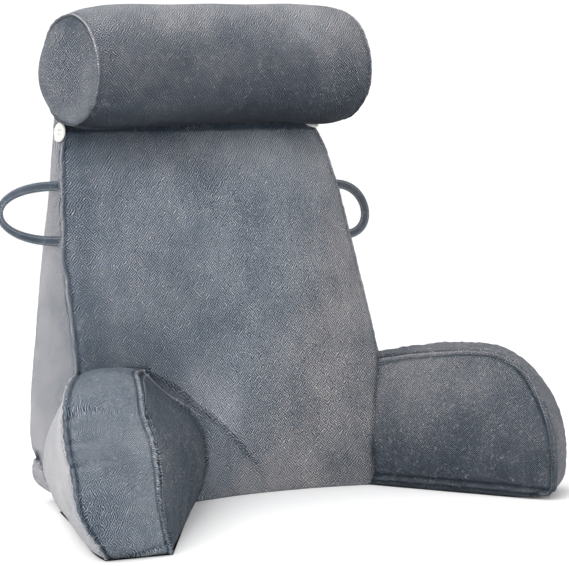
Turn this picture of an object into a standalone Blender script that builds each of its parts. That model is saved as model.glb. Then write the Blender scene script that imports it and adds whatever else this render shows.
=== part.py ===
"""A reading pillow with arms: a leaning backrest, two splayed arms, a neck roll, two side handles, two buttons.

Metres, +Z up. The sitter's side faces -Y and +X is the sitter's side seen on the right. The origin is in the
middle of the backrest's flat underside. The stuffed pieces are cubes cut into a grid, whose points are then
moved by a formula to the sewn and filled shape; each grid edge that is a seam keeps a full crease.
"""

import math

import bmesh
import bpy
import numpy as np
from mathutils import Matrix, Vector

GAP = 0.0004  # between two pieces that touch
SEWN_GAP = 0.0008  # between the backrest and what is sewn to it

# Backrest: one row for each height, from the underside to the top edge.
# height, half width at front seam, half width at back, front seam's y, back's y, dish of the front (- is bulge)
BACKREST_ROWS = (
    (0.000, 0.212, 0.196, -0.094, 0.022, 0.046),
    (0.012, 0.224, 0.216, -0.097, 0.048, 0.047),
    (0.060, 0.234, 0.228, -0.075, 0.068, 0.034),
    (0.120, 0.232, 0.228, -0.051, 0.073, 0.020),
    (0.200, 0.226, 0.222, -0.027, 0.075, 0.006),
    (0.300, 0.219, 0.213, 0.006, 0.077, -0.008),
    (0.390, 0.208, 0.199, 0.032, 0.078, -0.010),
    (0.440, 0.197, 0.189, 0.048, 0.078, -0.007),
    (0.4575, 0.190, 0.185, 0.055, 0.078, -0.004),
)
BACKREST_CUTS = (13, 3)  # grid cuts across and through
BACK_BULGE = 0.014
SIDE_BULGE = 0.004
TOP_RISE = 0.028  # the top's crown, before the roll presses its seat into it

# Arms: a D-shaped inner and outer panel with a boxing strip between them. One row for each height, in plan:
# height, inner panel where it leaves the backrest (x, y), inner panel at the nose (x, y),
# outer panel at the nose (x, y), outer panel where it leaves the backrest (x, y)
ARM_ROWS = {
    "arm_left": (
        (0.000, -0.070, -0.053, -0.263, -0.296, -0.340, -0.282, -0.240, 0.000),
        (0.050, -0.046, -0.044, -0.273, -0.288, -0.364, -0.272, -0.240, 0.035),
        (0.100, -0.054, -0.036, -0.280, -0.282, -0.374, -0.268, -0.237, 0.010),
        (0.150, -0.115, -0.031, -0.292, -0.273, -0.374, -0.268, -0.231, -0.026),
        (0.185, -0.150, -0.029, -0.296, -0.269, -0.374, -0.268, -0.223, -0.036),
    ),
    "arm_right": (
        (0.000, 0.180, -0.081, 0.303, -0.298, 0.366, -0.236, 0.240, 0.000),
        (0.050, 0.193, -0.068, 0.312, -0.292, 0.380, -0.231, 0.240, 0.030),
        (0.100, 0.208, -0.053, 0.318, -0.288, 0.386, -0.228, 0.238, 0.010),
        (0.150, 0.224, -0.041, 0.323, -0.284, 0.388, -0.224, 0.232, -0.022),
        (0.185, 0.232, -0.032, 0.326, -0.282, 0.389, -0.221, 0.226, -0.032),
    ),
}
ARM_CREST = 0.176
ARM_CREST_ROOT = {"arm_left": 0.164, "arm_right": 0.160}  # the crest's height where it leaves the backrest
ARM_NOSE_ROUND = 0.17  # how far the D's corner is drawn in at the nose, as a share of its length and height
ARM_CROWN = 0.007  # how far the strip bellies out between its two seams
ARM_BELLY = 0.014  # how far each panel bellies out
ARM_STOPS = (-0.20, -0.10, 0.0, 0.10, 0.22, 0.35, 0.48, 0.60, 0.70, 0.79, 0.87, 0.93, 0.97, 1.0)  # share of length
ARM_LEVELS = (0.0, 0.07, 0.22, 0.40, 0.58, 0.74, 0.88, 1.0)  # share of height
ARM_CUTS_THROUGH = 3
ARM_REAR = (0.185, -0.005)  # x and y of the outer panel's hidden end inside the backrest

# Neck roll
ROLL_CENTRE = (0.003, 0.026, 0.5350)
ROLL_TILT = math.radians(1.2)
ROLL_RADIUS = 0.076
ROLL_HALF = 0.2037  # from the middle to the end seam
ROLL_STEPS = 48
# distance from the middle as a share of ROLL_HALF, radius as a share of ROLL_RADIUS
ROLL_PROFILE = ((0.0, 1.006), (0.40, 1.004), (0.66, 0.998), (0.80, 0.984), (0.89, 0.960), (0.955, 0.922), (1.0, 0.888))
ROLL_CAP_BULGE = 0.016
ROLL_CAP_RINGS = 5

# Handles: a flat strap bent edgewise into a loop, both ends sewn into the front side seam.
# side, height of the loop's middle, how far the loop points backwards
HANDLE_ROWS = {"handle_left": (-1, 0.3545, 27.0), "handle_right": (1, 0.3470, 22.0)}
HANDLE_REACH = 0.071
HANDLE_HALF_SPAN = 0.0335
HANDLE_WIDTH, HANDLE_THICK = 0.0115, 0.0042
HANDLE_SINK = 0.006  # length run into the seam before the strap is trimmed there
HANDLE_INSET = 0.008  # from the front seam back to the strap
HANDLE_POINTS = 25
HANDLE_TWIST = math.radians(50)  # the strap turns this far on its way round

# Buttons
BUTTON_RADIUS = 0.0123
BUTTON_HOLE = 0.0011
BUTTON_HOLE_OFF = 0.0026
# radius and height of the turned outline, from the axis at the back round to the axis in front
BUTTON_PROFILE = (
    (0.0, 0.0), (0.0105, 0.0), (0.0119, 0.0006), (0.0123, 0.0015), (0.0119, 0.0026), (0.0108, 0.0031),
    (0.0096, 0.0027), (0.0086, 0.0019), (0.0, 0.0017),
)
BUTTON_LEFT = ((-0.1915, 0.0615, 0.4520), (-1.0, 0.0, 0.10))  # centre of its back, direction it faces
BUTTON_RIGHT = ((0.1825, 0.0545, 0.4590), (0.15, -0.45, 0.88))

FABRIC = ("velour", (0.115, 0.150, 0.185), 0.9)
STRAP = ("strap", (0.075, 0.095, 0.120), 0.85)
PLASTIC = ("button_plastic", (0.80, 0.80, 0.78), 0.3)


def clear_scene():
    for obj in list(bpy.data.objects):
        bpy.data.objects.remove(obj, do_unlink=True)


def new_collection(name):
    made = bpy.data.collections.new(name)
    bpy.context.scene.collection.children.link(made)
    return made


def material(row):
    name, colour, roughness = row
    made = bpy.data.materials.get(name)
    if made is None:
        made = bpy.data.materials.new(name)
        made.use_nodes = True
        shader = made.node_tree.nodes["Principled BSDF"]
        shader.inputs["Base Color"].default_value = (*colour, 1.0)
        shader.inputs["Roughness"].default_value = roughness
        shader.inputs["Metallic"].default_value = 0.0
    return made


def add_object(name, data, look, collection):
    obj = bpy.data.objects.new(name, data)
    data.materials.append(material(look))
    collection.objects.link(obj)
    return obj


def make_cutter(obj):
    obj.hide_render = True
    obj.display_type = "WIRE"


def cut_away(obj, cutter):
    cut = obj.modifiers.new("cut_" + cutter.name, "BOOLEAN")
    cut.operation = "DIFFERENCE"
    cut.solver = "EXACT"
    cut.object = cutter


def grid_cube(name, cuts, seams):
    """A cube from -1 to 1 with cuts along each axis. seams says, from an edge's two ends, which edges crease."""
    form = bmesh.new()
    bmesh.ops.create_cube(form, size=2.0)
    for axis, count in enumerate(cuts):
        along = [
            edge
            for edge in form.edges
            if abs(edge.verts[0].co[axis] - edge.verts[1].co[axis]) > 1.0
        ]
        bmesh.ops.subdivide_edges(form, edges=along, cuts=count, use_grid_fill=True)
    crease = form.edges.layers.float.new("crease_edge")
    for edge in form.edges:
        edge[crease] = 1.0 if seams(edge.verts[0].co, edge.verts[1].co) else 0.0
    mesh = bpy.data.meshes.new(name)
    form.to_mesh(mesh)
    form.free()
    return mesh


def both(first, second, axis, value):
    return abs(first[axis] - value) < 1e-4 and abs(second[axis] - value) < 1e-4


def reshape(mesh, formula):
    """Moves every point of the mesh by formula, which takes and gives arrays of x, y and z."""
    points = np.empty(len(mesh.vertices) * 3, np.float32)
    mesh.vertices.foreach_get("co", points)
    points = points.reshape(-1, 3).astype(np.float64)
    moved = np.stack(formula(*points.T), axis=1)
    mesh.vertices.foreach_set("co", moved.astype(np.float32).ravel())
    mesh.update()


def soften(obj, levels=1):
    smooth = obj.modifiers.new("soft", "SUBSURF")
    smooth.levels = smooth.render_levels = levels
    obj.data.shade_smooth()


def swell(obj, distance):
    """Pushes the surface out along its normals, for a cutter that leaves a gap."""
    out = obj.modifiers.new("gap", "DISPLACE")
    out.strength = distance
    out.mid_level = 0.0
    out.direction = "NORMAL"


def backrest_seam(first, second):
    side = both(first, second, 0, -1) or both(first, second, 0, 1)
    return side and (both(first, second, 1, -1) or both(first, second, 1, 1))


def backrest_shape(u, v, w):
    """u runs across, v from front to back, w from the underside to the top."""
    rows = np.array(BACKREST_ROWS)
    step = (w + 1) / 2 * (len(rows) - 1)
    height, half_front, half_back, front, back, dish = (
        np.interp(step, np.arange(len(rows)), column) for column in rows.T
    )
    through = (v + 1) / 2
    top = np.clip(step - (len(rows) - 2), 0, 1)
    belly = np.clip(height / 0.08, 0, 1) * (1 - top)
    x = u * (half_front + (half_back - half_front) * through)
    x += np.sign(u) * (np.abs(u) > 0.999) * SIDE_BULGE * (1 - v**2) * belly
    y_front = front + dish * (1 - u**2)
    y_back = back + BACK_BULGE * (1 - u**4) * belly
    y = y_front + (y_back - y_front) * through
    z = height + top * TOP_RISE * (1 - (0.55 * v - 0.35) ** 2 / 0.81) * (1 - 0.35 * u**6)
    return x, y, z


def make_backrest(name, collection):
    mesh = grid_cube(name, (*BACKREST_CUTS, len(BACKREST_ROWS) - 2), backrest_seam)
    reshape(mesh, backrest_shape)
    obj = add_object(name, mesh, FABRIC, collection)
    soften(obj)
    return obj


def arm_seam(first, second):
    panel = both(first, second, 1, -1) or both(first, second, 1, 1)
    return panel and any(both(first, second, axis, end) for axis, end in ((2, 1), (0, 1), (0, -1)))


def arm_shape(rows, crest_root):
    rows = np.array(rows)

    def plan(height, column):
        return np.interp(height, rows[:, 0], rows[:, column])

    def formula(u, v, w):
        """u runs along the arm, v from the inner to the outer panel, w up."""
        u = np.interp(u, np.linspace(-1, 1, len(ARM_STOPS)), ARM_STOPS)
        w = np.interp(w, np.linspace(-1, 1, len(ARM_LEVELS)), ARM_LEVELS)
        front = np.clip(u, 0, 1)
        run = u * (1 - ARM_NOSE_ROUND * w**3 * (u > 0))
        rise = w * (1 - ARM_NOSE_ROUND * front**8)
        crest = crest_root + (ARM_CREST - crest_root) * np.sin(np.clip(run * 2, 0, 1) * math.pi / 2)
        crown = ARM_CROWN * (1 - v**2)
        height = rise * crest + crown * (w > 0.999)
        run = run + crown * (u > 0.999) * np.clip(w / 0.2, 0, 1) / 0.25
        belly = ARM_BELLY * np.sin(np.clip(run, 0, 1) * math.pi) * (1 - (2 * w - 1) ** 2)
        ahead = np.maximum(run, 0)
        behind = np.minimum(run, 0) / ARM_STOPS[0]
        outward = np.sign(rows[0, 1])
        inner_x = plan(height, 1) + (plan(height, 3) - plan(height, 1)) * run - outward * belly
        inner_y = plan(height, 2) + (plan(height, 4) - plan(height, 2)) * run
        outer_x = plan(height, 7) + (plan(height, 5) - plan(height, 7)) * ahead + outward * belly
        outer_x += (outward * ARM_REAR[0] - plan(height, 7)) * behind
        outer_y = plan(height, 8) + (plan(height, 6) - plan(height, 8)) * ahead
        outer_y += (ARM_REAR[1] - plan(height, 8)) * behind
        across = (v + 1) / 2
        return inner_x + (outer_x - inner_x) * across, inner_y + (outer_y - inner_y) * across, height

    return formula


def make_arm(name, rows, backrest_cutter, collection):
    mesh = grid_cube(name, (len(ARM_STOPS) - 2, ARM_CUTS_THROUGH, len(ARM_LEVELS) - 2), arm_seam)
    reshape(mesh, arm_shape(rows, ARM_CREST_ROOT[name]))
    if rows[0][1] > 0:
        mesh.flip_normals()
    obj = add_object(name, mesh, FABRIC, collection)
    soften(obj)
    cut_away(obj, backrest_cutter)
    return obj


def roll_mesh(name, grow):
    """The roll's outline, turned about X. grow widens it, for the cutter of its seat."""
    outline = [(ROLL_HALF * far, ROLL_RADIUS * wide + grow) for far, wide in ROLL_PROFILE]
    end_radius = outline[-1][1]
    for ring in range(1, ROLL_CAP_RINGS + 1):
        angle = ring / ROLL_CAP_RINGS * math.pi / 2
        outline.append((ROLL_HALF + ROLL_CAP_BULGE * math.sin(angle), end_radius * math.cos(angle)))
    outline[-1] = (outline[-1][0], 0.0)
    whole = [(-far, wide) for far, wide in reversed(outline)] + outline[1:]
    mesh = bpy.data.meshes.new(name)
    mesh.from_pydata([(x, 0, r) for x, r in whole], [(i, i + 1) for i in range(len(whole) - 1)], [])
    return mesh


def make_roll(name, collection, grow=0.0):
    obj = add_object(name, roll_mesh(name, grow), FABRIC, collection)
    turn = obj.modifiers.new("turn", "SCREW")
    turn.axis = "X"
    turn.steps = turn.render_steps = ROLL_STEPS
    turn.use_merge_vertices = True
    turn.merge_threshold = 0.0001
    turn.use_normal_flip = True
    obj.location = ROLL_CENTRE
    obj.rotation_euler = (0, -ROLL_TILT, 0)
    return obj


def as_mesh(obj, name, look, collection):
    """The curve made a mesh, its caps welded on and its faces pointing out."""
    bpy.context.view_layer.update()
    graph = bpy.context.evaluated_depsgraph_get()
    mesh = bpy.data.meshes.new_from_object(obj.evaluated_get(graph))
    place = obj.matrix_world.copy()
    bpy.data.objects.remove(obj, do_unlink=True)
    form = bmesh.new()
    form.from_mesh(mesh)
    bmesh.ops.remove_doubles(form, verts=form.verts, dist=0.00001)
    bmesh.ops.recalc_face_normals(form, faces=form.faces)
    form.to_mesh(mesh)
    form.free()
    mesh.materials.clear()
    made = add_object(name, mesh, look, collection)
    made.matrix_world = place
    return made


def strap_outline(collection):
    """The strap's cross-section, a flattened round, as a small closed curve."""
    curve = bpy.data.curves.new("strap_outline", "CURVE")
    curve.dimensions = "2D"
    spline = curve.splines.new("POLY")
    sides = 12
    spline.points.add(sides - 1)
    for side, point in enumerate(spline.points):
        angle = side / sides * math.tau
        flat = abs(math.cos(angle)) ** 0.7 * math.copysign(1, math.cos(angle))
        point.co = (HANDLE_WIDTH / 2 * flat, HANDLE_THICK / 2 * math.sin(angle), 0, 1)
    spline.use_cyclic_u = True
    obj = bpy.data.objects.new("strap_outline", curve)
    collection.objects.link(obj)
    make_cutter(obj)
    return obj


def side_seam(height):
    """The front side seam of the backrest at this height: its half width and y."""
    rows = np.array(BACKREST_ROWS)
    return tuple(np.interp(height, rows[:, 0], rows[:, column]) for column in (1, 3))


def make_handle(name, row, outline, backrest_cutter, collection):
    side, middle, back = row
    curve = bpy.data.curves.new(name, "CURVE")
    curve.dimensions = "3D"
    curve.bevel_mode = "OBJECT"
    curve.bevel_object = outline
    curve.use_fill_caps = True
    curve.twist_mode = "Z_UP"
    spline = curve.splines.new("POLY")
    spline.points.add(HANDLE_POINTS - 1)
    back = math.radians(back)
    out = Vector((side * math.cos(back), math.sin(back), 0))
    for index, point in enumerate(spline.points):
        angle = index / (HANDLE_POINTS - 1) * math.pi
        height = middle + HANDLE_HALF_SPAN * math.cos(angle)
        half, front = side_seam(height)
        reach = (HANDLE_REACH + HANDLE_SINK) * math.sin(angle) ** 0.8 - HANDLE_SINK
        place = Vector((side * half, front + HANDLE_INSET, height)) + out * reach
        point.co = (*place, 1)
        point.tilt = math.pi / 2 - side * HANDLE_TWIST * math.sin(angle)
    obj = bpy.data.objects.new(name + "_path", curve)
    collection.objects.link(obj)
    strap = as_mesh(obj, name, STRAP, collection)
    strap.data.shade_smooth()
    cut_away(strap, backrest_cutter)
    return strap


def button_mesh(name, grow):
    outline = [(radius + grow * (radius > 0), height) for radius, height in BUTTON_PROFILE]
    if grow:
        outline = [(0.0, -grow), (BUTTON_RADIUS + grow, -grow), (BUTTON_RADIUS + grow, 0.006), (0.0, 0.006)]
    mesh = bpy.data.meshes.new(name)
    rows = [(radius, 0, height) for radius, height in outline]
    mesh.from_pydata(rows, [(i, i + 1) for i in range(len(rows) - 1)], [])
    return mesh


def make_button(name, place, faces, collection, grow=0.0):
    obj = add_object(name, button_mesh(name, grow), PLASTIC, collection)
    turn = obj.modifiers.new("turn", "SCREW")
    turn.axis = "Z"
    turn.steps = turn.render_steps = 28
    turn.use_merge_vertices = True
    turn.merge_threshold = 0.0001
    turn.use_normal_flip = True
    spin = Vector(faces).to_track_quat("Z", "Y")
    obj.matrix_world = Matrix.Translation(place) @ spin.to_matrix().to_4x4()
    return obj


def drill_button(button, cutters):
    """Four holes for the sewing thread."""
    for hole in range(4):
        angle = (hole + 0.5) * math.pi / 2
        form = bmesh.new()
        bmesh.ops.create_cone(
            form, cap_ends=True, segments=10, radius1=BUTTON_HOLE, radius2=BUTTON_HOLE, depth=0.012
        )
        name = f"{button.name}_hole_{hole + 1}"
        mesh = bpy.data.meshes.new(name)
        form.to_mesh(mesh)
        form.free()
        cutter = bpy.data.objects.new(name, mesh)
        cutters.objects.link(cutter)
        place = Vector((math.cos(angle), math.sin(angle), 0)) * BUTTON_HOLE_OFF * math.sqrt(2)
        cutter.matrix_world = button.matrix_world @ Matrix.Translation(place)
        make_cutter(cutter)
        cut_away(button, cutter)


def build():
    clear_scene()
    pieces = new_collection("reading_pillow")
    cutters = new_collection("cutters")

    backrest = make_backrest("backrest", pieces)
    around = make_backrest("around_backrest", cutters)
    swell(around, SEWN_GAP)
    make_cutter(around)

    make_roll("neck_roll", pieces)
    seat = make_roll("around_roll", cutters, grow=GAP)
    make_cutter(seat)
    cut_away(backrest, seat)

    for name, rows in ARM_ROWS.items():
        make_arm(name, rows, around, pieces)

    outline = strap_outline(cutters)
    for name, row in HANDLE_ROWS.items():
        make_handle(name, row, outline, around, pieces)

    for name, (place, faces) in (("button_left", BUTTON_LEFT), ("button_right", BUTTON_RIGHT)):
        button = make_button(name, place, faces, pieces)
        dent = make_button("around_" + name, place, faces, cutters, grow=GAP)
        make_cutter(dent)
        cut_away(backrest, dent)
        drill_button(button, cutters)


build()
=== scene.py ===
# %% [markdown]
# # A reading pillow in grey-blue velour
# The object is soft goods: a stuffed backrest, two stuffed arms, a neck roll laid across the top, two strap
# loops and two buttons. It could be sculpted by hand, or modelled as cubes under a subdivision modifier. Here
# each stuffed piece is a surface worked out with numpy from a short table of sizes, blown up a little by a
# cloth simulation, and then given its seams, gathers and folds, so every size can be read and changed.
# Left and right are the picture's. Lengths are in metres.

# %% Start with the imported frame
import math

import bpy
import numpy as np
from mathutils import Matrix, Vector


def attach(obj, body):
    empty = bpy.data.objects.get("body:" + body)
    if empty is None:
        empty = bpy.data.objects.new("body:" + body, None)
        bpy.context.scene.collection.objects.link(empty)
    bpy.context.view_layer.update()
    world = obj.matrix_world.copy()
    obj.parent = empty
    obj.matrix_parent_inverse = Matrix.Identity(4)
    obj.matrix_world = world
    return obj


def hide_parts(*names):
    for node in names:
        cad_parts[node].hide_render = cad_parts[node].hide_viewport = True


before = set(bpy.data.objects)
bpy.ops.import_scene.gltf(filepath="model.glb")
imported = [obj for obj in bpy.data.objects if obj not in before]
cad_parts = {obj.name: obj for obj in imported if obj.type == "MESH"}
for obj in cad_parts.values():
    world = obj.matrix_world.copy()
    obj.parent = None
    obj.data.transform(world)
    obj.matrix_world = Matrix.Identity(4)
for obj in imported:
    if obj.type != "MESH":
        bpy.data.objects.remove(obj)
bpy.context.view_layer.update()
print("frame holds", sorted(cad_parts))

# %% [markdown]
# The camera comes first, because everything is judged through it. It could be aimed with a constraint, but its
# three angles were fitted to the photograph, so they are written down: about 2.9 m away, half a metre up,
# turned 36 degrees to the right and looking 5.5 degrees down.

# %% Camera
CAMERA_PLACE = Vector((-1.6335, -2.3613, 0.5416))
CAMERA_YAW, CAMERA_PITCH, CAMERA_ROLL = (math.radians(a) for a in (36.34, 5.54, 0.40))
CAMERA_LENS = 145.4


def aim_camera():
    """Forward is (sin yaw, cos yaw) tipped down by pitch; right and up are then rolled about it."""
    level = Vector((math.sin(CAMERA_YAW), math.cos(CAMERA_YAW), 0))
    forward = level * math.cos(CAMERA_PITCH) - Vector((0, 0, math.sin(CAMERA_PITCH)))
    right = Vector((math.cos(CAMERA_YAW), -math.sin(CAMERA_YAW), 0))
    up = right.cross(forward)
    right_rolled = right * math.cos(CAMERA_ROLL) + up * math.sin(CAMERA_ROLL)
    up_rolled = up * math.cos(CAMERA_ROLL) - right * math.sin(CAMERA_ROLL)
    turned = Matrix((right_rolled, up_rolled, -forward)).transposed().to_4x4()
    lens = bpy.data.cameras.new("photo_camera")
    lens.sensor_width, lens.sensor_fit, lens.lens = 36.0, "HORIZONTAL", CAMERA_LENS
    lens.clip_end = 50.0
    camera = bpy.data.objects.new("photo_camera", lens)
    bpy.context.scene.collection.objects.link(camera)
    camera.matrix_world = Matrix.Translation(CAMERA_PLACE) @ turned
    bpy.context.scene.camera = camera


aim_camera()

# %% [markdown]
# Four small curves do most of the shaping. `smooth` draws a soft curve through a short table, as a maker
# draws a pattern edge through a few measured points. `ripple` is an uneven wave that never repeats by eye,
# for gathers and creases. `fade` and `mound` say how far an effect reaches from a seam.

# %% Curves


def smooth(at, knots, values):
    """Cubic pieces through the table, each starting and ending with the table's own mean slope."""
    knots, values = np.asarray(knots, float), np.asarray(values, float)
    slopes = np.gradient(values, knots)
    piece = np.clip(np.searchsorted(knots, at) - 1, 0, len(knots) - 2)
    step = knots[piece + 1] - knots[piece]
    t = np.clip((at - knots[piece]) / step, 0, 1)
    start = values[piece] * (2 * t**3 - 3 * t**2 + 1) + slopes[piece] * step * (t**3 - 2 * t**2 + t)
    return start + values[piece + 1] * (3 * t**2 - 2 * t**3) + slopes[piece + 1] * step * (t**3 - t**2)


def ripple(along, pitch, shift):
    """A wave from -1 to 1 of about this pitch: three sines whose lengths share no whole ratio."""
    turn = 2 * np.pi * along / pitch
    slow, quick = np.sin(0.618 * turn + 2.1 * shift), np.sin(1.47 * turn + 3.7 * shift)
    return (np.sin(turn + shift) + 0.7 * slow + 0.5 * quick) / 2.2


def fade(value, near, far):
    """1 below near, 0 above far, and an even S between them."""
    t = np.clip((value - near) / (far - near), 0, 1)
    return 1 - t * t * (3 - 2 * t)


def mound(distance, width):
    """The bell curve: 1 at no distance, falling away on both sides as e to the minus (distance / width)^2."""
    return np.exp(-((distance / width) ** 2))


# %% [markdown]
# A seam's ridge is 3 mm wide, and a panel half a metre, so an even grid fine enough for the seam would be far
# too heavy. `graded` sets the grid lines 0.8 mm apart at a seam and widens them step by step, up to the 3 or
# 4 mm of a panel's middle.

# %% Grid lines
SEAM_STEPS = np.array([0, 0.8, 1.7, 2.7, 3.8, 5.1, 6.6, 8.4, 10.6, 13.2]) * 0.001


def graded(length, cell, low=True, high=True):
    """Grid lines from 0 to 1 along a panel, close together at a low or high end that is a seam."""
    first = SEAM_STEPS if low else np.array([0.0])
    last = length - SEAM_STEPS[::-1] if high else np.array([length])
    count = int(round((last[0] - first[-1]) / cell))
    middle = np.linspace(first[-1], last[0], count + 1)[1:-1]
    return np.concatenate([first, middle, last]) / length


# %% [markdown]
# A stuffed piece starts as the skin of a box, cut into a grid. Six separate sheets would have to be merged
# at their edges. Here the skin is numbered by its place in the full box of grid points, so the points that two
# sides share are the same point from the start, and the skin is closed.

# %% The skin of a box


def box_skin(counts):
    """Places (i, j, k) of the skin's points, and its four-sided faces turned outwards."""
    counts = np.array(counts)
    quads = []
    for axis in range(3):
        first, second = [other for other in range(3) if other != axis]
        grid = np.indices((counts[first], counts[second]))
        for end in (0, counts[axis] - 1):
            place = np.zeros((3, *grid.shape[1:]), int)
            place[axis], place[first], place[second] = end, grid[0], grid[1]
            number = (place[0] * counts[1] + place[1]) * counts[2] + place[2]
            corners = [number[:-1, :-1], number[1:, :-1], number[1:, 1:], number[:-1, 1:]]
            quad = np.stack(corners, -1).reshape(-1, 4)
            quads.append(quad[:, ::-1] if (end == 0) != (axis == 1) else quad)
    used, faces = np.unique(np.concatenate(quads), return_inverse=True)
    place = np.stack([used // (counts[1] * counts[2]), used // counts[2] % counts[1], used % counts[2]], 1)
    return place, faces.reshape(-1, 4)


def volume_of(points, faces):
    """The sum over the faces of each one's pyramid down to the origin."""
    a, b, c, d = (points[faces[:, corner]] for corner in range(4))
    return float((np.cross(c - a, d - b) * (a + b + c + d)).sum() / 24)


def face_out(points, faces):
    """A closed skin with a negative volume is inside out, so its faces are turned over."""
    return faces if volume_of(points, faces) > 0 else faces[:, ::-1]


# %% [markdown]
# Folds are pushed out along the surface's own direction, and folded edges are rounded off by drawing each
# point towards its neighbours. Blender's Smooth modifier does the same, but here only some points may move.

# %% Normals and rounding


def normals_of(points, faces):
    """Each point's normal: the faces round it, summed by area."""
    a, b, c, d = (points[faces[:, corner]] for corner in range(4))
    across = np.cross(c - a, d - b)
    total = np.zeros_like(points)
    for corner in range(4):
        for axis in range(3):
            total[:, axis] += np.bincount(faces[:, corner], across[:, axis], len(points))
    return total / np.maximum(np.linalg.norm(total, axis=1, keepdims=True), 1e-12)


def relax(points, faces, share, rounds):
    """Moves each point by its share towards the middle of its neighbours, which rounds an edge off."""
    ends = np.concatenate([faces[:, [0, 1]], faces[:, [1, 2]], faces[:, [2, 3]], faces[:, [3, 0]]])
    count = np.bincount(ends[:, 0], minlength=len(points))[:, None]
    for _ in range(rounds):
        total = [np.bincount(ends[:, 0], points[ends[:, 1], axis], len(points)) for axis in range(3)]
        points = points + (np.stack(total, 1) / count - points) * share[:, None]
    return points


# %% [markdown]
# The arrays go into Blender in one call for each kind of data, which is many times faster than adding points
# one by one. The object stays at the origin, so that its place is in its mesh.

# %% Arrays into a mesh


def make_mesh(name, points, faces, smooth_faces=True):
    """A mesh object from arrays; a face whose two neighbouring corners are one point becomes a triangle."""
    mesh = bpy.data.meshes.new(name)
    mesh.vertices.add(len(points))
    mesh.vertices.foreach_set("co", np.ascontiguousarray(points, np.float32).ravel())
    corners = np.ones(faces.shape, bool)
    corners[:, 1:] = faces[:, 1:] != faces[:, :-1]
    corners[:, -1] &= faces[:, -1] != faces[:, 0]
    sides = corners.sum(1)
    mesh.loops.add(int(sides.sum()))
    mesh.loops.foreach_set("vertex_index", np.ascontiguousarray(faces[corners], np.int32))
    mesh.polygons.add(len(faces))
    mesh.polygons.foreach_set("loop_start", (np.cumsum(sides) - sides).astype(np.int32))
    mesh.polygons.foreach_set("use_smooth", np.full(len(faces), smooth_faces))
    mesh.update(calc_edges=True)
    mesh.validate()
    piece = bpy.data.objects.new(name, mesh)
    bpy.context.scene.collection.objects.link(piece)
    return piece


# %% [markdown]
# The stuffing is what gives a pillow its looks. It could be drawn in by formulas alone, but real cloth swells
# unevenly. So a coarse copy of each skin is held along its seams and blown up by a cloth simulation for
# twenty frames, with its fabric cut a little too large. It swells between the seams and gathers towards them.
# Only the movement is kept: it is capped, and carried over to the fine skin.

# %% Stuffing


def stuff(points, faces, held, cap, spare=0.02, pressure=4.0):
    """How far each point moves when the skin is blown up, at most cap. held is 1 where a seam holds it."""
    sack = make_mesh("sack", points, faces)
    seams = sack.vertex_groups.new(name="held")
    seams.add(np.flatnonzero(held > 0.5).tolist(), 1.0, "REPLACE")
    cloth = sack.modifiers.new("stuffing", "CLOTH")
    settings = cloth.settings
    settings.quality, settings.mass, settings.air_damping = 5, 0.3, 2.0
    settings.tension_stiffness = settings.compression_stiffness = 20.0
    settings.shear_stiffness, settings.bending_stiffness = 8.0, 1.2
    settings.use_pressure, settings.uniform_pressure_force = True, pressure
    settings.vertex_group_mass, settings.shrink_min = "held", -spare
    settings.effector_weights.gravity = 0.0
    cloth.point_cache.frame_start, cloth.point_cache.frame_end = 1, 20
    scene = bpy.context.scene
    for step in range(1, 21):
        scene.frame_set(step)
    graph = bpy.context.evaluated_depsgraph_get()
    swollen = sack.evaluated_get(graph).to_mesh()
    moved = np.empty(len(points) * 3, np.float32)
    swollen.vertices.foreach_get("co", moved)
    bpy.data.objects.remove(sack, do_unlink=True)
    scene.frame_set(1)
    move = moved.reshape(-1, 3) - points
    length = np.linalg.norm(move, axis=1, keepdims=True)
    return move * cap * np.tanh(length / cap) / np.maximum(length, 1e-9)


# %% [markdown]
# The simulation runs on a grid of about a centimetre. Its movement is spread over the fine skin, by blending
# the eight nearest coarse grid points, so the fine spacing beside the seams survives.

# %% From the coarse skin to the fine one


def carry_over(move, place, counts, at):
    """The coarse skin's movement at any place: a weighted mean of the eight grid points round it."""
    full = np.zeros((*counts, 3))
    full[place[:, 0], place[:, 1], place[:, 2]] = move
    low = np.minimum(at.astype(int), np.array(counts) - 2)
    part = at - low
    result = np.zeros((len(at), 3))
    for corner in np.ndindex(2, 2, 2):
        weight = np.prod(np.where(np.array(corner) == 1, part, 1 - part), axis=1)
        i, j, k = (low + corner).T
        result += full[i, j, k] * weight[:, None]
    return result


# %% [markdown]
# Every seam, crease and fold below is a line, and what it does depends on two numbers for each point: how far
# the line is, and how far along it the nearest place lies.

# %% Distance to a line


def nearest(points, line):
    """For each point, its distance to a seam line, and how far along the line the nearest place is."""
    steps = np.linalg.norm(np.diff(line, axis=0), axis=1)
    along = np.concatenate([[0], np.cumsum(steps)])
    dense_at = np.linspace(0, along[-1], 260)
    dense = np.stack([np.interp(dense_at, along, line[:, axis]) for axis in range(3)], 1)
    gap = (points**2).sum(1)[:, None] + (dense**2).sum(1)[None] - 2 * points @ dense.T
    found = gap.argmin(1)
    return np.sqrt(np.maximum(gap[np.arange(len(points)), found], 0)), dense_at[found]


# %% [markdown]
# ## The roll's place
# The roll presses a seat into the backrest's top, so its axis is needed before the backrest is shaped.

# %% Roll sizes
ROLL_CENTRE = (0.003, 0.026, 0.5350)
ROLL_TILT = math.radians(1.2)
ROLL_RADIUS = 0.076
ROLL_HALF = 0.2037
CLEAR = 0.0012  # room left between one piece's cloth and the next
FAR_UP = 10.0


def roll_axis(x):
    """Height of the roll's axis: a straight line that rises by the tilt."""
    return ROLL_CENTRE[2] + (x - ROLL_CENTRE[0]) * math.tan(ROLL_TILT)


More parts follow.
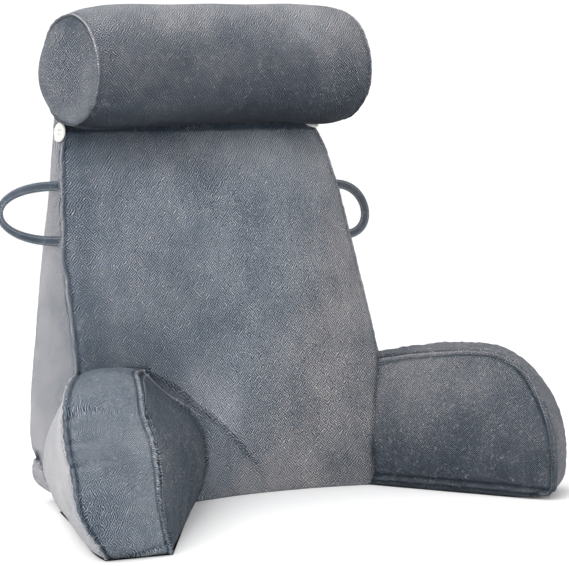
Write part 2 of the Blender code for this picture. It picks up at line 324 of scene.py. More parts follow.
def under_roll(x, y):
    """Height of the roll's underside above a point on the floor plan; very high outside the roll."""
    inside = np.maximum(ROLL_RADIUS**2 - (y - ROLL_CENTRE[1]) ** 2, 0)
    return np.where(inside > 0, roll_axis(x) - np.sqrt(inside), FAR_UP)


def press(points):
    """The cloth stays above the floor and clear of the roll that lies on it."""
    points[:, 2] = np.clip(points[:, 2], 0.0, under_roll(points[:, 0], points[:, 1]) - CLEAR)


print("roll rests on the backrest at", round(float(under_roll(0.0, ROLL_CENTRE[1])), 4), "m")


# %% [markdown]
# ## Backrest
# On the real pillow this is a front panel, two side panels and a back, sewn into a wedge and stuffed hard. It
# could be one cube pulled into shape, but its outline changes with height in five ways at once. So a table
# gives it at nine heights, and a smooth curve runs through each column. The front panel is dished at the
# bottom, where a sitter's hips go, and bulges a little above.

# %% Backrest table
# height, half width at the front seam, half width at the back, front seam's y, back's y, dish of the front
BACKREST_ROWS = np.array(
    (
        (0.000, 0.212, 0.196, -0.094, 0.022, 0.046),
        (0.012, 0.224, 0.216, -0.097, 0.048, 0.047),
        (0.060, 0.234, 0.228, -0.075, 0.068, 0.034),
        (0.120, 0.232, 0.228, -0.051, 0.073, 0.020),
        (0.200, 0.226, 0.220, -0.027, 0.075, 0.006),
        (0.300, 0.219, 0.209, 0.006, 0.077, -0.008),
        (0.390, 0.208, 0.197, 0.032, 0.078, -0.010),
        (0.440, 0.197, 0.193, 0.048, 0.078, -0.007),
        (0.4575, 0.190, 0.191, 0.055, 0.078, -0.004),
    )
)
BACKREST_TOP = 0.4575
BACK_BULGE, SIDE_BULGE, TOP_RISE = 0.012, 0.003, 0.028


def backrest_row(height, column):
    """One column of the table at any height."""
    return smooth(height, BACKREST_ROWS[:, 0], BACKREST_ROWS[:, column])


def backrest_front(x, z):
    """The front panel's y at a place across and up."""
    return backrest_row(z, 3) + backrest_row(z, 5) * (1 - (x / backrest_row(z, 1)) ** 2)


def backrest_side(y, z):
    """The side panel's half width at a depth and height."""
    front, back = backrest_row(z, 3), backrest_row(z, 4)
    through = np.clip((y - front) / (back - front), 0, 1)
    belly = np.clip(z / 0.08, 0, 1) * np.clip((BACKREST_TOP - z) / 0.02, 0, 1)
    half = backrest_row(z, 1) + (backrest_row(z, 2) - backrest_row(z, 1)) * through
    return half + SIDE_BULGE * (1 - (2 * through - 1) ** 2) * belly


# %% [markdown]
# The shape takes a place in the box, across, through and up, and gives the point in space. The top is a soft
# hump with the roll's seat pressed into it. The arms need the same solid the other way round, as a test
# of whether a point lies inside it.

# %% Backrest shape


def backrest_shape(u, v, w):
    """u runs across from -1 to 1, v from front to back and w from the underside to the top, both 0 to 1."""
    height = w * BACKREST_TOP
    top = np.clip((height - 0.425) / (BACKREST_TOP - 0.425), 0, 1)
    top = top * top
    belly = np.clip(height / 0.08, 0, 1) * (1 - top)
    half = backrest_row(height, 1) + (backrest_row(height, 2) - backrest_row(height, 1)) * v
    x = u * half + np.sign(u) * (np.abs(u) > 0.9999) * SIDE_BULGE * (1 - (2 * v - 1) ** 2) * belly
    front = backrest_row(height, 3) + backrest_row(height, 5) * (1 - u**2)
    back = backrest_row(height, 4) + BACK_BULGE * (1 - u**4) * belly
    y = front + (back - front) * v
    z = height + top * TOP_RISE * (1 - (1.1 * v - 0.9) ** 2 / 0.81) * (1 - 0.35 * u**6)
    return x, y, np.minimum(z, under_roll(x, y) - CLEAR)


def inside_backrest(x, y, z):
    """Below 0 inside the backrest and above 0 outside it; near its surface, about the distance to it."""
    low = np.clip(z, 0.0, BACKREST_TOP)
    ahead, beside = backrest_front(x, low) - y, np.abs(x) - backrest_side(y, low)
    return np.maximum(np.maximum(ahead, beside), y - backrest_row(low, 4))


# %% [markdown]
# A piece is made twice from the same shape: coarse for the simulation, and fine for the eye.

# %% Coarse skin, stuffing, fine skin


def shell(shape, stops):
    """Points and faces of a stuffed piece: the box's skin, its grid lines at stops, moved by shape."""
    place, faces = box_skin([len(stop) for stop in stops])
    grid = np.stack([stop[place[:, axis]] for axis, stop in enumerate(stops)], 1)
    points = np.stack(shape(*grid.T), 1)
    return place, grid, points, face_out(points, faces)


def make_stuffed(shape, coarse, fine, hold, cap, spare):
    """The fine skin of a piece, stuffed. hold says from the grid coordinates which points a seam holds."""
    place, grid, points, faces = shell(shape, coarse)
    move = stuff(points, faces, hold(*grid.T), cap, spare)
    _, fine_grid, fine_points, fine_faces = shell(shape, fine)
    at = np.stack([np.interp(fine_grid[:, a], coarse[a], np.arange(len(coarse[a]))) for a in range(3)], 1)
    moved = carry_over(move, place, [len(stop) for stop in coarse], at)
    print("  stuffing moved it by up to", round(float(np.linalg.norm(move, axis=1).max()) * 1000, 1), "mm")
    return fine_grid, fine_points + moved, fine_faces


# %% [markdown]
# The cloth is held where the panels are sewn to each other, at the foot, and at the top, where the roll's
# weight keeps it down. Everything else is free to swell, by 7 mm at most.

# %% Backrest skin


def hold_backrest(u, v, w):
    """1 on the four upright seams, on the underside and on the top, where the roll presses; else 0."""
    seam = (np.abs(u) > 0.999) & ((v < 0.001) | (v > 0.999))
    return np.where(seam | (w < 0.001) | (w > 0.93), 1.0, 0.0)


fine_backrest = (graded(0.44, 0.0030) * 2 - 1, graded(0.125, 0.0036), graded(0.46, 0.0030, False, False))
coarse_backrest = (np.linspace(-1, 1, 49), np.linspace(0, 1, 13), np.linspace(0, 1, 51))
print("backrest")
grid, points, faces = make_stuffed(backrest_shape, coarse_backrest, fine_backrest, hold_backrest, 0.007, 0.015)
print("  points", len(points), "faces", len(faces))

# %% [markdown]
# Each side seam is a narrow ridge of turned cloth with a row of stitches beside it, and the cloth of both
# panels gathers into it. A bump map could draw that, but it wouldn't show on the outline, so the seams are
# real relief. Light and shade are painted along them with the shape: a painted highlight in short glints on
# the ridge, and painted shade in the groove beside it.

# %% Seams


def seam_relief(distance, along, shift, ridge=0.0013, gather=0.0010):
    """A narrow ridge on the seam, a groove on each side, and gathers that run out of it and die away."""
    profile = ridge * mound(distance, 0.0018) - 0.9 * ridge * mound(distance - 0.0046, 0.0018)
    folds = ripple(along, 0.013, shift) * np.exp(-distance / 0.010) * fade(distance, 0.010, 0.045)
    slack = ripple(along, 0.047, shift + 2) * np.exp(-distance / 0.022)
    return profile + gather * (folds + 0.8 * slack)


def seam_highlight_and_shade(distance, along):
    """Painted highlight on the ridge, in short glints, and painted shade in the groove beside it."""
    glint = 0.7 + 0.3 * ripple(along, 0.012, 1.0)
    return 0.32 * glint * mound(distance, 0.0016) - 0.30 * mound(distance - 0.0044, 0.0016)


def seam_line(points, chosen, order):
    """The points of a seam, in order."""
    return points[chosen][np.argsort(order[chosen])]


def spot(points, centre, size):
    """A soft round spot: 1 at its centre, fading over size, which may differ for x, y and z."""
    return np.exp(-((((points - np.array(centre)) / np.array(size)) ** 2).sum(1)))


# %% [markdown]
# The left arm is pushed in across the front, and pulls a long crease down the front panel. Below the crease
# the panel falls back in a facet. A crease is sharper than the grid, so the grid lines near it are first drawn
# in towards it. Light is painted on it as well: a highlight on its edge, shade in its groove and on the facet,
# and the left arm's shadow on the cloth above its upper end.

# %% Crease
CREASE_LINE = np.array(
    (
        (-0.124, -0.029, 0.163),
        (-0.106, -0.029, 0.153),
        (-0.085, -0.030, 0.142),
        (-0.067, -0.031, 0.125),
        (-0.047, -0.033, 0.111),
        (-0.036, -0.034, 0.103),
        (-0.014, -0.037, 0.084),
        (0.016, -0.042, 0.051),
        (0.053, -0.051, 0.002),
    )
)


def draw_in(points, normal, line, reach, front):
    """Slides grid points along the cloth towards a line, so that a fold on it gets a closer grid."""
    steps = np.concatenate([[0], np.cumsum(np.linalg.norm(np.diff(line, axis=0), axis=1))])
    distance, along = nearest(points, line)
    foot = np.stack([np.interp(along, steps, line[:, axis]) for axis in range(3)], 1)
    aside = points - foot
    aside -= normal * (normal * aside).sum(1, keepdims=True)
    share = 1 - np.sqrt(np.clip(distance / reach, 0, 1))
    return points - aside * (0.8 * share * front)[:, None]


def crease_relief(points, front):
    """A narrow ridge on the crease and, on its lower left, a drop that is steep at the ridge and then even,
    with painted light and shade.
    """
    distance, along = nearest(points, CREASE_LINE)
    x, _, z = points.T
    line_x = np.interp(z, CREASE_LINE[::-1, 2], CREASE_LINE[::-1, 0])
    below = (x < line_x) & (z < 0.17)
    strength = np.interp(along, (0.0, 0.02, 0.17, 0.21, 0.25), (0.7, 1.0, 1.0, 0.4, 0.1)) * front
    ridge = mound(distance, 0.006)
    drop = below * (1 - np.exp(-distance / 0.0045))
    edge = mound(distance, 0.0014) * np.interp(along, (0.04, 0.09), (0.3, 1.0))
    groove = below * mound(distance - 0.0036, 0.0022)
    facet = below * fade(-distance, -0.004, 0.0) * (1 - fade(z, 0.03, 0.11))
    above = (1 - below) * fade(distance, 0.0, 0.035) * fade(along, 0.05, 0.10)
    # painted highlight on the crease's edge; painted shade in its groove and on the facet, and the left arm's
    # painted shadow above the crease
    pile_and_painted_light = 0.42 * edge - 0.26 * groove - 0.12 * facet - 0.14 * above
    return strength * (0.0026 * ridge - 0.0090 * drop), strength * pile_and_painted_light


# %% [markdown]
# At the foot of the left side panel there is spare cloth, folded in a tuck where the arm is sewn on. The
# slot above the fold is painted almost black as shade, and the fold's edge gets a faint painted highlight.

# %% Tuck
TUCK_EDGE = np.array(
    (
        (-0.236, 0.070, 0.052),
        (-0.236, 0.050, 0.046),
        (-0.236, 0.028, 0.032),
        (-0.236, 0.014, 0.015),
        (-0.236, -0.009, 0.000),
    )
)
TUCK_SHADE, TUCK_SHADE_SIZE = (-0.232, 0.046, 0.060), (0.030, 0.009, 0.006)


def tuck_relief(points):
    """A folded edge standing 4 mm proud, with a slot above it that is deepest at its upper end; painted shade
    in the slot.
    """
    distance, along = nearest(points, TUCK_EDGE)
    line_z = np.interp(points[:, 1], TUCK_EDGE[::-1, 1], TUCK_EDGE[::-1, 2])
    above = points[:, 2] > line_z
    side = points[:, 0] < -0.20
    depth = np.interp(along, (0, 0.03, 0.06, 0.09), (1, 1, 0.6, 0.3))
    slot = np.where(above, mound(distance - 0.0045, 0.0045), 0.0) * depth
    edge = mound(distance - 0.001, 0.0030) * np.where(above, 0.3, 1.0)
    # second value: painted shade in the slot, a faint painted highlight on the edge
    return side * (0.0040 * edge - 0.0150 * slot), side * (0.10 * edge - 0.80 * slot)


# %% [markdown]
# Hands have stroked the front's pile, and each stroke leaves a soft light or dark place. Some places in the
# list are painted light instead: shade under the roll, above the left arm's root and at the foot by the right
# arm, and a pool of light above the crease. Noise would put them anywhere; a short list puts them where they
# are.

# %% Strokes of a hand, and painted shade and light
STROKES_AND_PAINTED_LIGHT = (  # x, z, half width, half height, change
    # painted shade under the roll
    (-0.12, 0.455, 0.13, 0.020, -0.20),
    (0.09, 0.430, 0.08, 0.045, 0.20),
    # painted shade just above the left arm's root
    (-0.15, 0.185, 0.07, 0.035, -0.20),
    (-0.04, 0.220, 0.12, 0.040, -0.08),
    # painted light, lifting the left arm's shadow above the crease
    (-0.010, 0.105, 0.028, 0.035, 0.26),
    (0.020, 0.070, 0.025, 0.055, -0.06),
    (-0.10, 0.285, 0.055, 0.060, -0.08),
    (-0.02, 0.395, 0.035, 0.030, -0.10),
    # these two: painted shade along the foot, towards and beside the right arm's root
    (0.135, 0.030, 0.030, 0.030, -0.14),
    (0.195, 0.030, 0.05, 0.045, -0.14),
    (-0.075, 0.115, 0.040, 0.040, 0.07),
    (-0.105, 0.060, 0.030, 0.022, -0.12),
)


def strokes_and_painted_light(points):
    """The sum of the strokes and the painted shade and light, each a mound across times a mound up."""
    x, _, z = points.T
    return sum(change * mound(x - a, wide) * mound(z - b, high) for a, b, wide, high, change in STROKES_AND_PAINTED_LIGHT)


# %% [markdown]
# The top edge and the foot are folds of one cloth, not seams, so they are rounded off. The left button is
# sewn down hard on the side panel, and the cloth may not swell through it.

# %% Rounded folds, and room for the button


def round_edges(points, faces, u, w):
    """Points near the top fold and the foot are relaxed; those on the seams move much less."""
    seam = np.abs(u) > 0.985
    near_top = fade(1 - w, 0.01, 0.06) * np.where(seam, 0.08, 1.0)
    near_foot = fade(w, 0.008, 0.035) * np.where(w < 0.0005, 0.0, 1.0) * np.where(seam, 0.4, 1.0)
    share = np.clip(near_top + near_foot, 0, 1) * 0.5
    rounded = relax(points, faces, share, 60)
    press(rounded)
    rounded[w < 0.0005, 2] = 0.0
    return rounded


BUTTON_BACK, BUTTON_CENTRE, BUTTON_RADIUS = -0.1902, (0.0615, 0.4521), 0.0125


def make_room(points):
    """Behind the button the cloth stays level with its back; past its rim it may swell at a slope of 0.9."""
    far = np.linalg.norm(points[:, 1:] - np.array(BUTTON_CENTRE), axis=1)
    limit = BUTTON_BACK - 0.9 * np.maximum(far - BUTTON_RADIUS, 0)
    return np.stack([np.maximum(points[:, 0], limit), points[:, 1], points[:, 2]], 1)


# %% [markdown]
# The seams lie on the four upright edges of the grid. The left front one wanders a little, and the strap
# pulls it in where it is sewn on.

# %% Backrest seams
STRAP_PULL, STRAP_PULL_HEIGHT = 0.0040, 0.302


def backrest_seams(points, u, v, w):
    """Relief, sideways shift and painted highlight and shade, each added up over the seams, and the seams' own
    lines.
    """
    relief, aside, pile_and_painted_light = np.zeros((3, len(points)))
    lines = {}
    for side in (-1, 1):
        for name, depth in (("front", 0.0), ("back", 1.0)):
            chosen = (np.abs(u - side) < 1e-6) & (np.abs(v - depth) < 1e-6)
            lines[name, side] = seam_line(points, chosen, w)
            distance, along = nearest(points, lines[name, side])
            strength = 0.35 if name == "back" else 1.0 if side < 0 else 0.5
            relief += strength * seam_relief(distance, along, side + 3 * depth)
            # painted highlight on each seam's ridge and painted shade in its groove
            pile_and_painted_light += strength * seam_highlight_and_shade(distance, along)
            if name == "front" and side < 0:
                wander = 0.0011 * ripple(along, 0.034, 2.0) + 0.0006 * ripple(along, 0.012, 5.0)
                pull = -STRAP_PULL * mound(points[:, 2] - STRAP_PULL_HEIGHT, 0.020)
                aside += wander * np.exp(-distance / 0.007) + pull * np.exp(-distance / 0.015)
    return relief, aside, pile_and_painted_light, lines


# %% [markdown]
# The same cloth looks dark where its pile leans away, so the front panel is darker than the sides. Shade is
# painted over that: darkest in the narrow gap under the roll, and in the tuck's slot.

# %% Backrest pile and painted shade
FRONT_LAY, SIDE_LAY = 0.54, 0.66
FRONT_TOP = 0.4538


def pile_and_painted_light_of_backrest(points, u, v, w):
    """The panel's own pile, plus the strokes, an even drift over the sides, and painted shade at the roll and
    in the tuck.
    """
    front, sides = v < 0.001, np.abs(u) > 0.999
    pile_and_painted_light = np.where(sides, SIDE_LAY, FRONT_LAY)
    pile_and_painted_light += front * (strokes_and_painted_light(points) - 0.13 * fade(u, -0.90, -0.74))
    pile_and_painted_light += sides * (-0.09 + 0.18 * (1 - fade(v, 0.1, 0.9)) + 0.05 * fade(w, 0.1, 0.4))
    # painted shade along the line where the roll lies on the backrest, and just under the top
    off = np.hypot(points[:, 1] - ROLL_CENTRE[1], points[:, 2] - roll_axis(points[:, 0])) - ROLL_RADIUS
    below = FRONT_TOP - points[:, 2]
    ahead = fade(v, 0.25, 0.75)
    pile_and_painted_light -= ahead * (0.50 * mound(off, 0.0040) + 0.50 * fade(below, 0.0, 0.0035))
    pile_and_painted_light -= 0.10 * (1 - ahead) * fade(below, 0.0, 0.012) + 0.10 * front * mound(below, 0.018)
    # painted shade in the tuck's slot
    return pile_and_painted_light - 0.9 * spot(points, TUCK_SHADE, TUCK_SHADE_SIZE)


# %% [markdown]
# Now all of it is added to the stuffed skin, along its normals, together with the slow swells of a firmly
# filled cushion and fine wrinkles just under the roll.

# %% Backrest finished


def detail_backrest(points, faces, u, v, w):
    """Points moved by their normal times the relief, the seam lines, and the pile with its painted light and
    shade at every point.
    """
    points = round_edges(points, faces, u, w)
    normal = normals_of(points, faces)
    front = (v < 0.001) * 1.0
    points = draw_in(points, normal, CREASE_LINE, 0.012, front * (w > 0.001))
    relief, aside, seams, lines = backrest_seams(points, u, v, w)
    crease, crease_highlight_and_shade = crease_relief(points, front)
    tuck, tuck_highlight_and_shade = tuck_relief(points)
    x, _, z = points.T
    swells = 0.0013 * ripple(x + 0.4 * z, 0.12, 1.0) * ripple(z - 0.3 * x, 0.14, 4.0)
    wrinkles = 0.0005 * ripple(z + 0.25 * x, 0.011, 2.0) * mound(z - 0.452, 0.016) * front
    relief += crease + tuck + swells * fade(np.abs(u), 0.9, 1.0) + wrinkles
    relief *= (w >= 0.0005) * fade(w, 0.975, 1.0)
    shaped = points + normal * relief[:, None]
    shaped[:, 0] += aside * fade(w, 0.97, 1.0) * (w > 0.001)
    press(shaped)
    shaped = make_room(shaped)
    # the seams', tuck's and crease's values added here are painted highlights and shade
    return shaped, lines, pile_and_painted_light_of_backrest(shaped, u, v, w) + seams + tuck_highlight_and_shade + crease_highlight_and_shade


points, backrest_lines, backrest_pile_and_painted_light = detail_backrest(points, faces, *grid.T)
backrest_grid, backrest_points, backrest_normals = grid, points, normals_of(points, faces)
backrest = make_mesh("backrest_cover", points, faces)
front_seam = np.linalg.norm(np.diff(backrest_lines["front", -1], axis=0), axis=1).sum()
print("backrest faces", len(faces), "front seam", round(float(front_seam), 3), "m")

# %% [markdown]
# ## Arms
# Each arm is two D-shaped panels with a boxing strip between them. Two mirrored copies would be quicker, but
# the real ones don't stand alike: the left one is pushed in across the front, so it is wide at its root and
# narrow at its nose, and the right one stands straight. So each has its own table of plans at five heights:
# where each panel leaves the backrest and where it ends at the nose.

# %% Arm tables
# height, inner root x y, inner nose x y, outer nose x y, outer root x y
ARM_ROWS = {
    "left": np.array(
        (
            (0.000, -0.070, -0.053, -0.263, -0.296, -0.338, -0.284, -0.240, -0.012),
            (0.050, -0.046, -0.044, -0.273, -0.288, -0.367, -0.272, -0.240, 0.022),
            (0.100, -0.054, -0.036, -0.279, -0.282, -0.376, -0.268, -0.237, 0.008),
            (0.150, -0.115, -0.031, -0.288, -0.273, -0.388, -0.266, -0.231, -0.026),
            (0.185, -0.150, -0.029, -0.284, -0.269, -0.392, -0.264, -0.223, -0.036),
        )
    ),
    "right": np.array(
        (
            (0.000, 0.180, -0.081, 0.303, -0.298, 0.366, -0.236, 0.240, 0.000),
            (0.050, 0.193, -0.068, 0.312, -0.292, 0.380, -0.231, 0.240, 0.030),
            (0.100, 0.208, -0.053, 0.318, -0.288, 0.386, -0.228, 0.238, 0.010),
            (0.150, 0.224, -0.041, 0.323, -0.284, 0.388, -0.224, 0.232, -0.022),
            (0.185, 0.232, -0.032, 0.326, -0.282, 0.389, -0.221, 0.226, -0.032),
        )
    ),
}
ARM_CREST_ROOT = {"left": 0.164, "right": 0.161}
ARM_CREST = {"left": 0.176, "right": 0.178}
ARM_HEEL = {"left": 0.0, "right": 0.070}  # how far the nose's lower corner is rounded back
ARM_CREST_TIP = {"left": 0.0, "right": 0.007}  # how much the crest leans inwards near its root
ARM_BELLY_OUT = {"left": 0.006, "right": 0.012}
ARM_NOSE_ROUND, ARM_CROWN, ARM_BELLY, ARM_FOOT = 0.17, 0.006, 0.012, 0.008
ARM_REAR, ARM_REAR_SHARE = (0.185, -0.005), 0.20

# %% [markdown]
# An arm's surface takes how far along it a point is, how far across and how far up. The nose is rounded by
# pulling the run back near the crest and the heel, and both panels belly out between their seams.

# %% Arm surface


def arm_surface(name):
    """A function of run (0 root, 1 nose), across (0 inner, 1 outer) and rise (0 floor, 1 crest) to a point."""
    rows = ARM_ROWS[name]
    outward = np.sign(rows[0, 1])

    def plan(height, column):
        return smooth(height, rows[:, 0], rows[:, column])

    def surface(run, across, rise):
        ahead = np.clip(run, 0, 1)
        pulled = run * (1 - ARM_NOSE_ROUND * rise**3 * (run > 0))
        climb = np.sin(np.clip(pulled * 2, 0, 1) * np.pi / 2)
        crest = ARM_CREST_ROOT[name] + (ARM_CREST[name] - ARM_CREST_ROOT[name]) * climb
        crest -= ARM_CREST_TIP[name] * (1 - across) * fade(ahead, 0.35, 0.85) * rise**2
        crown = ARM_CROWN * (1 - (2 * across - 1) ** 2)
        height = rise * (1 - ARM_NOSE_ROUND * ahead**8) * crest + crown * (rise > 0.9999)
        pulled = pulled + crown * (run > 0.9999) * np.clip(rise / 0.2, 0, 1) / 0.25
        pulled = pulled - 0.030 * ahead**6 * fade(rise, 0.0, 0.11)
        pulled = pulled - ARM_HEEL[name] * ahead**8 * np.clip(1 - rise / 0.10, 0, 1) ** 2
        belly = ARM_BELLY * np.sin(np.clip(pulled, 0, 1) * np.pi) * (1 - (2 * rise - 1) ** 2)
        foot = ARM_FOOT * np.sin(np.clip(pulled, 0, 1) ** 3 * np.pi) * fade(rise, 0.0, 0.5)
        low = np.clip(height, 0, rows[-1, 0])
        front, hidden = np.maximum(pulled, 0), np.minimum(pulled, 0) / -ARM_REAR_SHARE
        inner_x = plan(low, 1) + (plan(low, 3) - plan(low, 1)) * pulled - outward * belly
        inner_y = plan(low, 2) + (plan(low, 4) - plan(low, 2)) * pulled
        outer_x = plan(low, 7) + (plan(low, 5) - plan(low, 7)) * front
        outer_x += outward * (belly * ARM_BELLY_OUT[name] / ARM_BELLY + foot)
        outer_x += (outward * ARM_REAR[0] - plan(low, 7)) * hidden
        outer_y = plan(low, 8) + (plan(low, 6) - plan(low, 8)) * front
        outer_y += (ARM_REAR[1] - plan(low, 8)) * hidden
        return inner_x + (outer_x - inner_x) * across, inner_y + (outer_y - inner_y) * across, height

    return surface


# %% [markdown]
# Each line along an arm starts where it comes out of the backrest. A Boolean would cut that edge raggedly
# through the grid. Instead, halving the run 24 times finds the place to well under a thousandth of a
# millimetre, and the grid starts exactly there.

# %% Where an arm meets the backrest


def root_of(surface, across, rise):
    """Where the line along the arm meets the backrest, found by halving the run again and again."""
    low, high = np.full(across.shape, -ARM_REAR_SHARE), np.full(across.shape, 0.5)
    for _ in range(24):
        middle = (low + high) / 2
        x, y, z = surface(middle, across, rise)
        hidden = inside_backrest(x, y, z) < 0.0012
        low, high = np.where(hidden, middle, low), np.where(hidden, high, middle)
    return high


def arm_shape(name):
    """The surface with its run stretched from the backrest to the nose."""
    surface = arm_surface(name)

    def shape(u, v, w):
        """u runs from the backrest to the nose, v from the inner to the outer panel, w up, all 0 to 1."""
        root = root_of(surface, v, w)
        return surface(root + (1 - root) * u, v, w)

    return shape


def hold_arm(u, v, w):
    """1 on both panels' rims, on the underside and on the root; else 0."""
    panel = (v < 0.001) | (v > 0.999)
    rim = (w > 0.999) | (u > 0.999)
    return np.where((panel & rim) | (w < 0.001) | (u < 0.001), 1.0, 0.0)


# %% [markdown]
# The arms' rims are seamed differently from the backrest's: the turned-in edge is stitched down again, which
# leaves a flat lip beside the seam, a groove along the stitches and a sharp step down on the other side. On
# the right arm the lip runs round the panels, 5 mm wide. On the left arm it lies on the boxing strip. Each rim
# gets a painted highlight along its edge, in glints, and painted shade in its grooves.

# %% Arm rims
LIP_WIDTH = 0.0050


def lip_relief(distance, along, shift, panel, width, strength):
    """On the lip's side: flat for its width, then a sewn groove. On the other: a step down. Gathers on both."""
    lip = 0.0014 * fade(distance, width - 0.0014, width)
    lip -= 0.0017 * mound(distance - width - 0.0010, 0.0014)
    step = 0.0014 * fade(distance, 0.0003, 0.0013) - 0.0016 * mound(distance - 0.0030, 0.0018)
    folds = ripple(along, 0.0120, shift) * np.exp(-distance / 0.010) * fade(distance, 0.010, 0.040)
    slack = ripple(along, 0.039, shift + 5) * np.exp(-distance / 0.020)
    return np.where(panel, lip, step) + strength * 0.0009 * folds + 0.0006 * slack


def lip_highlight_and_shade(distance, along, panel, width):
    """Painted highlight along the edge, in glints, and painted shade in the groove on each side."""
    edge = 0.26 * (0.7 + 0.3 * ripple(along, 0.011, 2.0)) * mound(distance, 0.0016)
    groove = mound(distance - np.where(panel, width + 0.0012, 0.0028), 0.0015)
    return edge - 0.42 * groove


# %% [markdown]
# The strip is longer than the edge that it is sewn to, so it gathers: fine folds cross it where it bends down
# from the crest to the nose, and short puckers run out of its outer seam.

# %% Gathers of the strip


def strip_gathers(u, v, w, strength):
    """Fine folds across the strip where it bends over, and puckers that start at its outer seam."""
    along = np.where(w > 0.9999, u, 1 + 0.65 * (1 - w))
    bend = mound(along - 0.93, 0.10)
    across = ripple(along + 0.02 * np.sin(v * 3), 0.021, 1.0) * bend * fade(np.abs(v - 0.5), 0.30, 0.52)
    puckers = ripple(along + 0.03 * (1 - v), 0.034, 3.0) * np.exp(-(1 - v) / 0.16)
    long_ones = ripple(along + 0.05 * (1 - v), 0.052, 5.0) * np.exp(-(1 - v) / 0.32) * mound(along - 1.20, 0.16)
    return strength * (0.0008 * across + 0.0010 * puckers + 0.0018 * long_ones)


# %% [markdown]
# At the foot the cloth turns under. The left arm's strip ends in a slack fold, and the right arm's inner panel
# has a seam 9 mm above the floor, with a lip as on the rim.

# %% Foot of the arms
HEM_FOLD = np.array(
    ((0.000, 0.018, 0), (0.012, 0.016, 0), (0.024, 0.012, 0), (0.036, 0.0075, 0), (0.050, 0.004, 0))
)
STRIP_WIDTH, STRIP_HEIGHT = 0.083, 0.175


def hem_fold(v, w):
    """The strip's foot is turned up in a slack fold: a groove along HEM_FOLD, painted dark as shade, and the
    turned cloth below it, a little lighter.
    """
    flat = np.stack([v * STRIP_WIDTH, w * STRIP_HEIGHT, np.zeros_like(v)], 1)
    distance, _ = nearest(flat, HEM_FOLD)
    line = np.interp(flat[:, 0], HEM_FOLD[:, 0], HEM_FOLD[:, 1])
    below = (flat[:, 1] < line) & (flat[:, 0] < 0.05)
    groove = mound(distance, 0.0020)
    return 0.0012 * below - 0.0018 * groove, 0.10 * below * (1 - groove) - 0.25 * groove


def foot_seam(points, v, w, strength):
    """The inner panel's foot: lip and groove along the grid row at a height of 9 mm, with painted highlight and
    shade; below it a paler turn.
    """
    row = w[np.argmin(np.abs(w - 0.052))]
    side = v < 0.0005
    line = points[side & (np.abs(w - row) < 1e-6)]
    distance, along = nearest(points, line[np.argsort(line[:, 1])])
    above = w > row - 1e-6
    relief = lip_relief(distance, along, 9.0, above, LIP_WIDTH, strength) * fade(distance, 0.010, 0.020)
    return side * relief, side * (lip_highlight_and_shade(distance, along, above, LIP_WIDTH) + 0.06 * ~above)


# %% [markdown]
# Each panel is cut with its pile its own way, which is why the left arm's outer panel is almost white and its
# inner panel almost black; that inner panel also faces away from the lamp, and part of its darkness is painted
# shade. One number for each panel says so, with a drift across it: the inner panels are painted darker towards
# the foot as shade, and the strip darker where its crest meets the backrest.

# %% Arm pile and painted shade
# inner panel at its top, at its foot, its fall towards the nose; strip, its fall outwards; outer panel
PILE_AND_PAINTED_SHADE = {
    "left": (0.12, 0.03, -0.10, 0.52, 0.13, 1.0),
    "right": (0.53, -0.06, 0.26, 0.44, 0.0, 0.56),
}


def pile_and_painted_shade(name, u, v, w):
    """The inner panel blends from its foot's value, darkened as painted shade, to its top's; the strip falls
    off outwards, with painted shade where its crest meets the backrest.
    """
    top, low, nose, strip, fall, outer = PILE_AND_PAINTED_SHADE[name]
    rise = 1 - fade(w, 0.05, 0.75)
    inner = (low + 0.08 * u) * (1 - rise) + (top - nose * u**1.5) * rise
    middle = strip - fall * v + 0.07 * (1 - w) ** 2 - 0.04 * (1 - fade(w - u, 0.5, 1.0))
    return np.where(v < 0.0005, inner, np.where(v > 0.9995, outer, middle))


# %% [markdown]
# The grid tells which points are on the strip and which on the panels, so each fold stays on its own piece
# of cloth.

# %% Arm folds and seams


def on_strip(u, v, w):
    """The boxing strip: the crest and the nose, between the two panels."""
    return (v > 0.01) & (v < 0.99) & ((w > 0.9995) | (u > 0.9995))


def on_panel(v):
    """The inner and the outer panel, rims included."""
    return (v < 0.0005) | (v > 0.9995)


def soften_arm(points, faces, u, v, w):
    """Relaxes the strip where it bends over and the edge of the foot, then draws the foot in by up to 7 mm."""
    free = (w >= 0.001) & (u >= 0.001)
    bend = fade(np.maximum(1 - w, 1 - u), 0.10, 0.22) * fade(np.abs(v - 0.5), 0.40, 0.48) * on_strip(u, v, w)
    points = relax(points, faces, np.clip(0.45 * fade(w, 0.02, 0.06) + 0.5 * bend, 0, 0.5) * free, 40)
    points[w < 0.001, 2] = 0.0
    tucked = 0.0070 * (1 - np.clip(w / 0.05, 0, 1)) ** 2 * fade(-u, -0.05, 0.0)
    return points - normals_of(points, faces) * np.array([1, 1, 0]) * tucked[:, None]


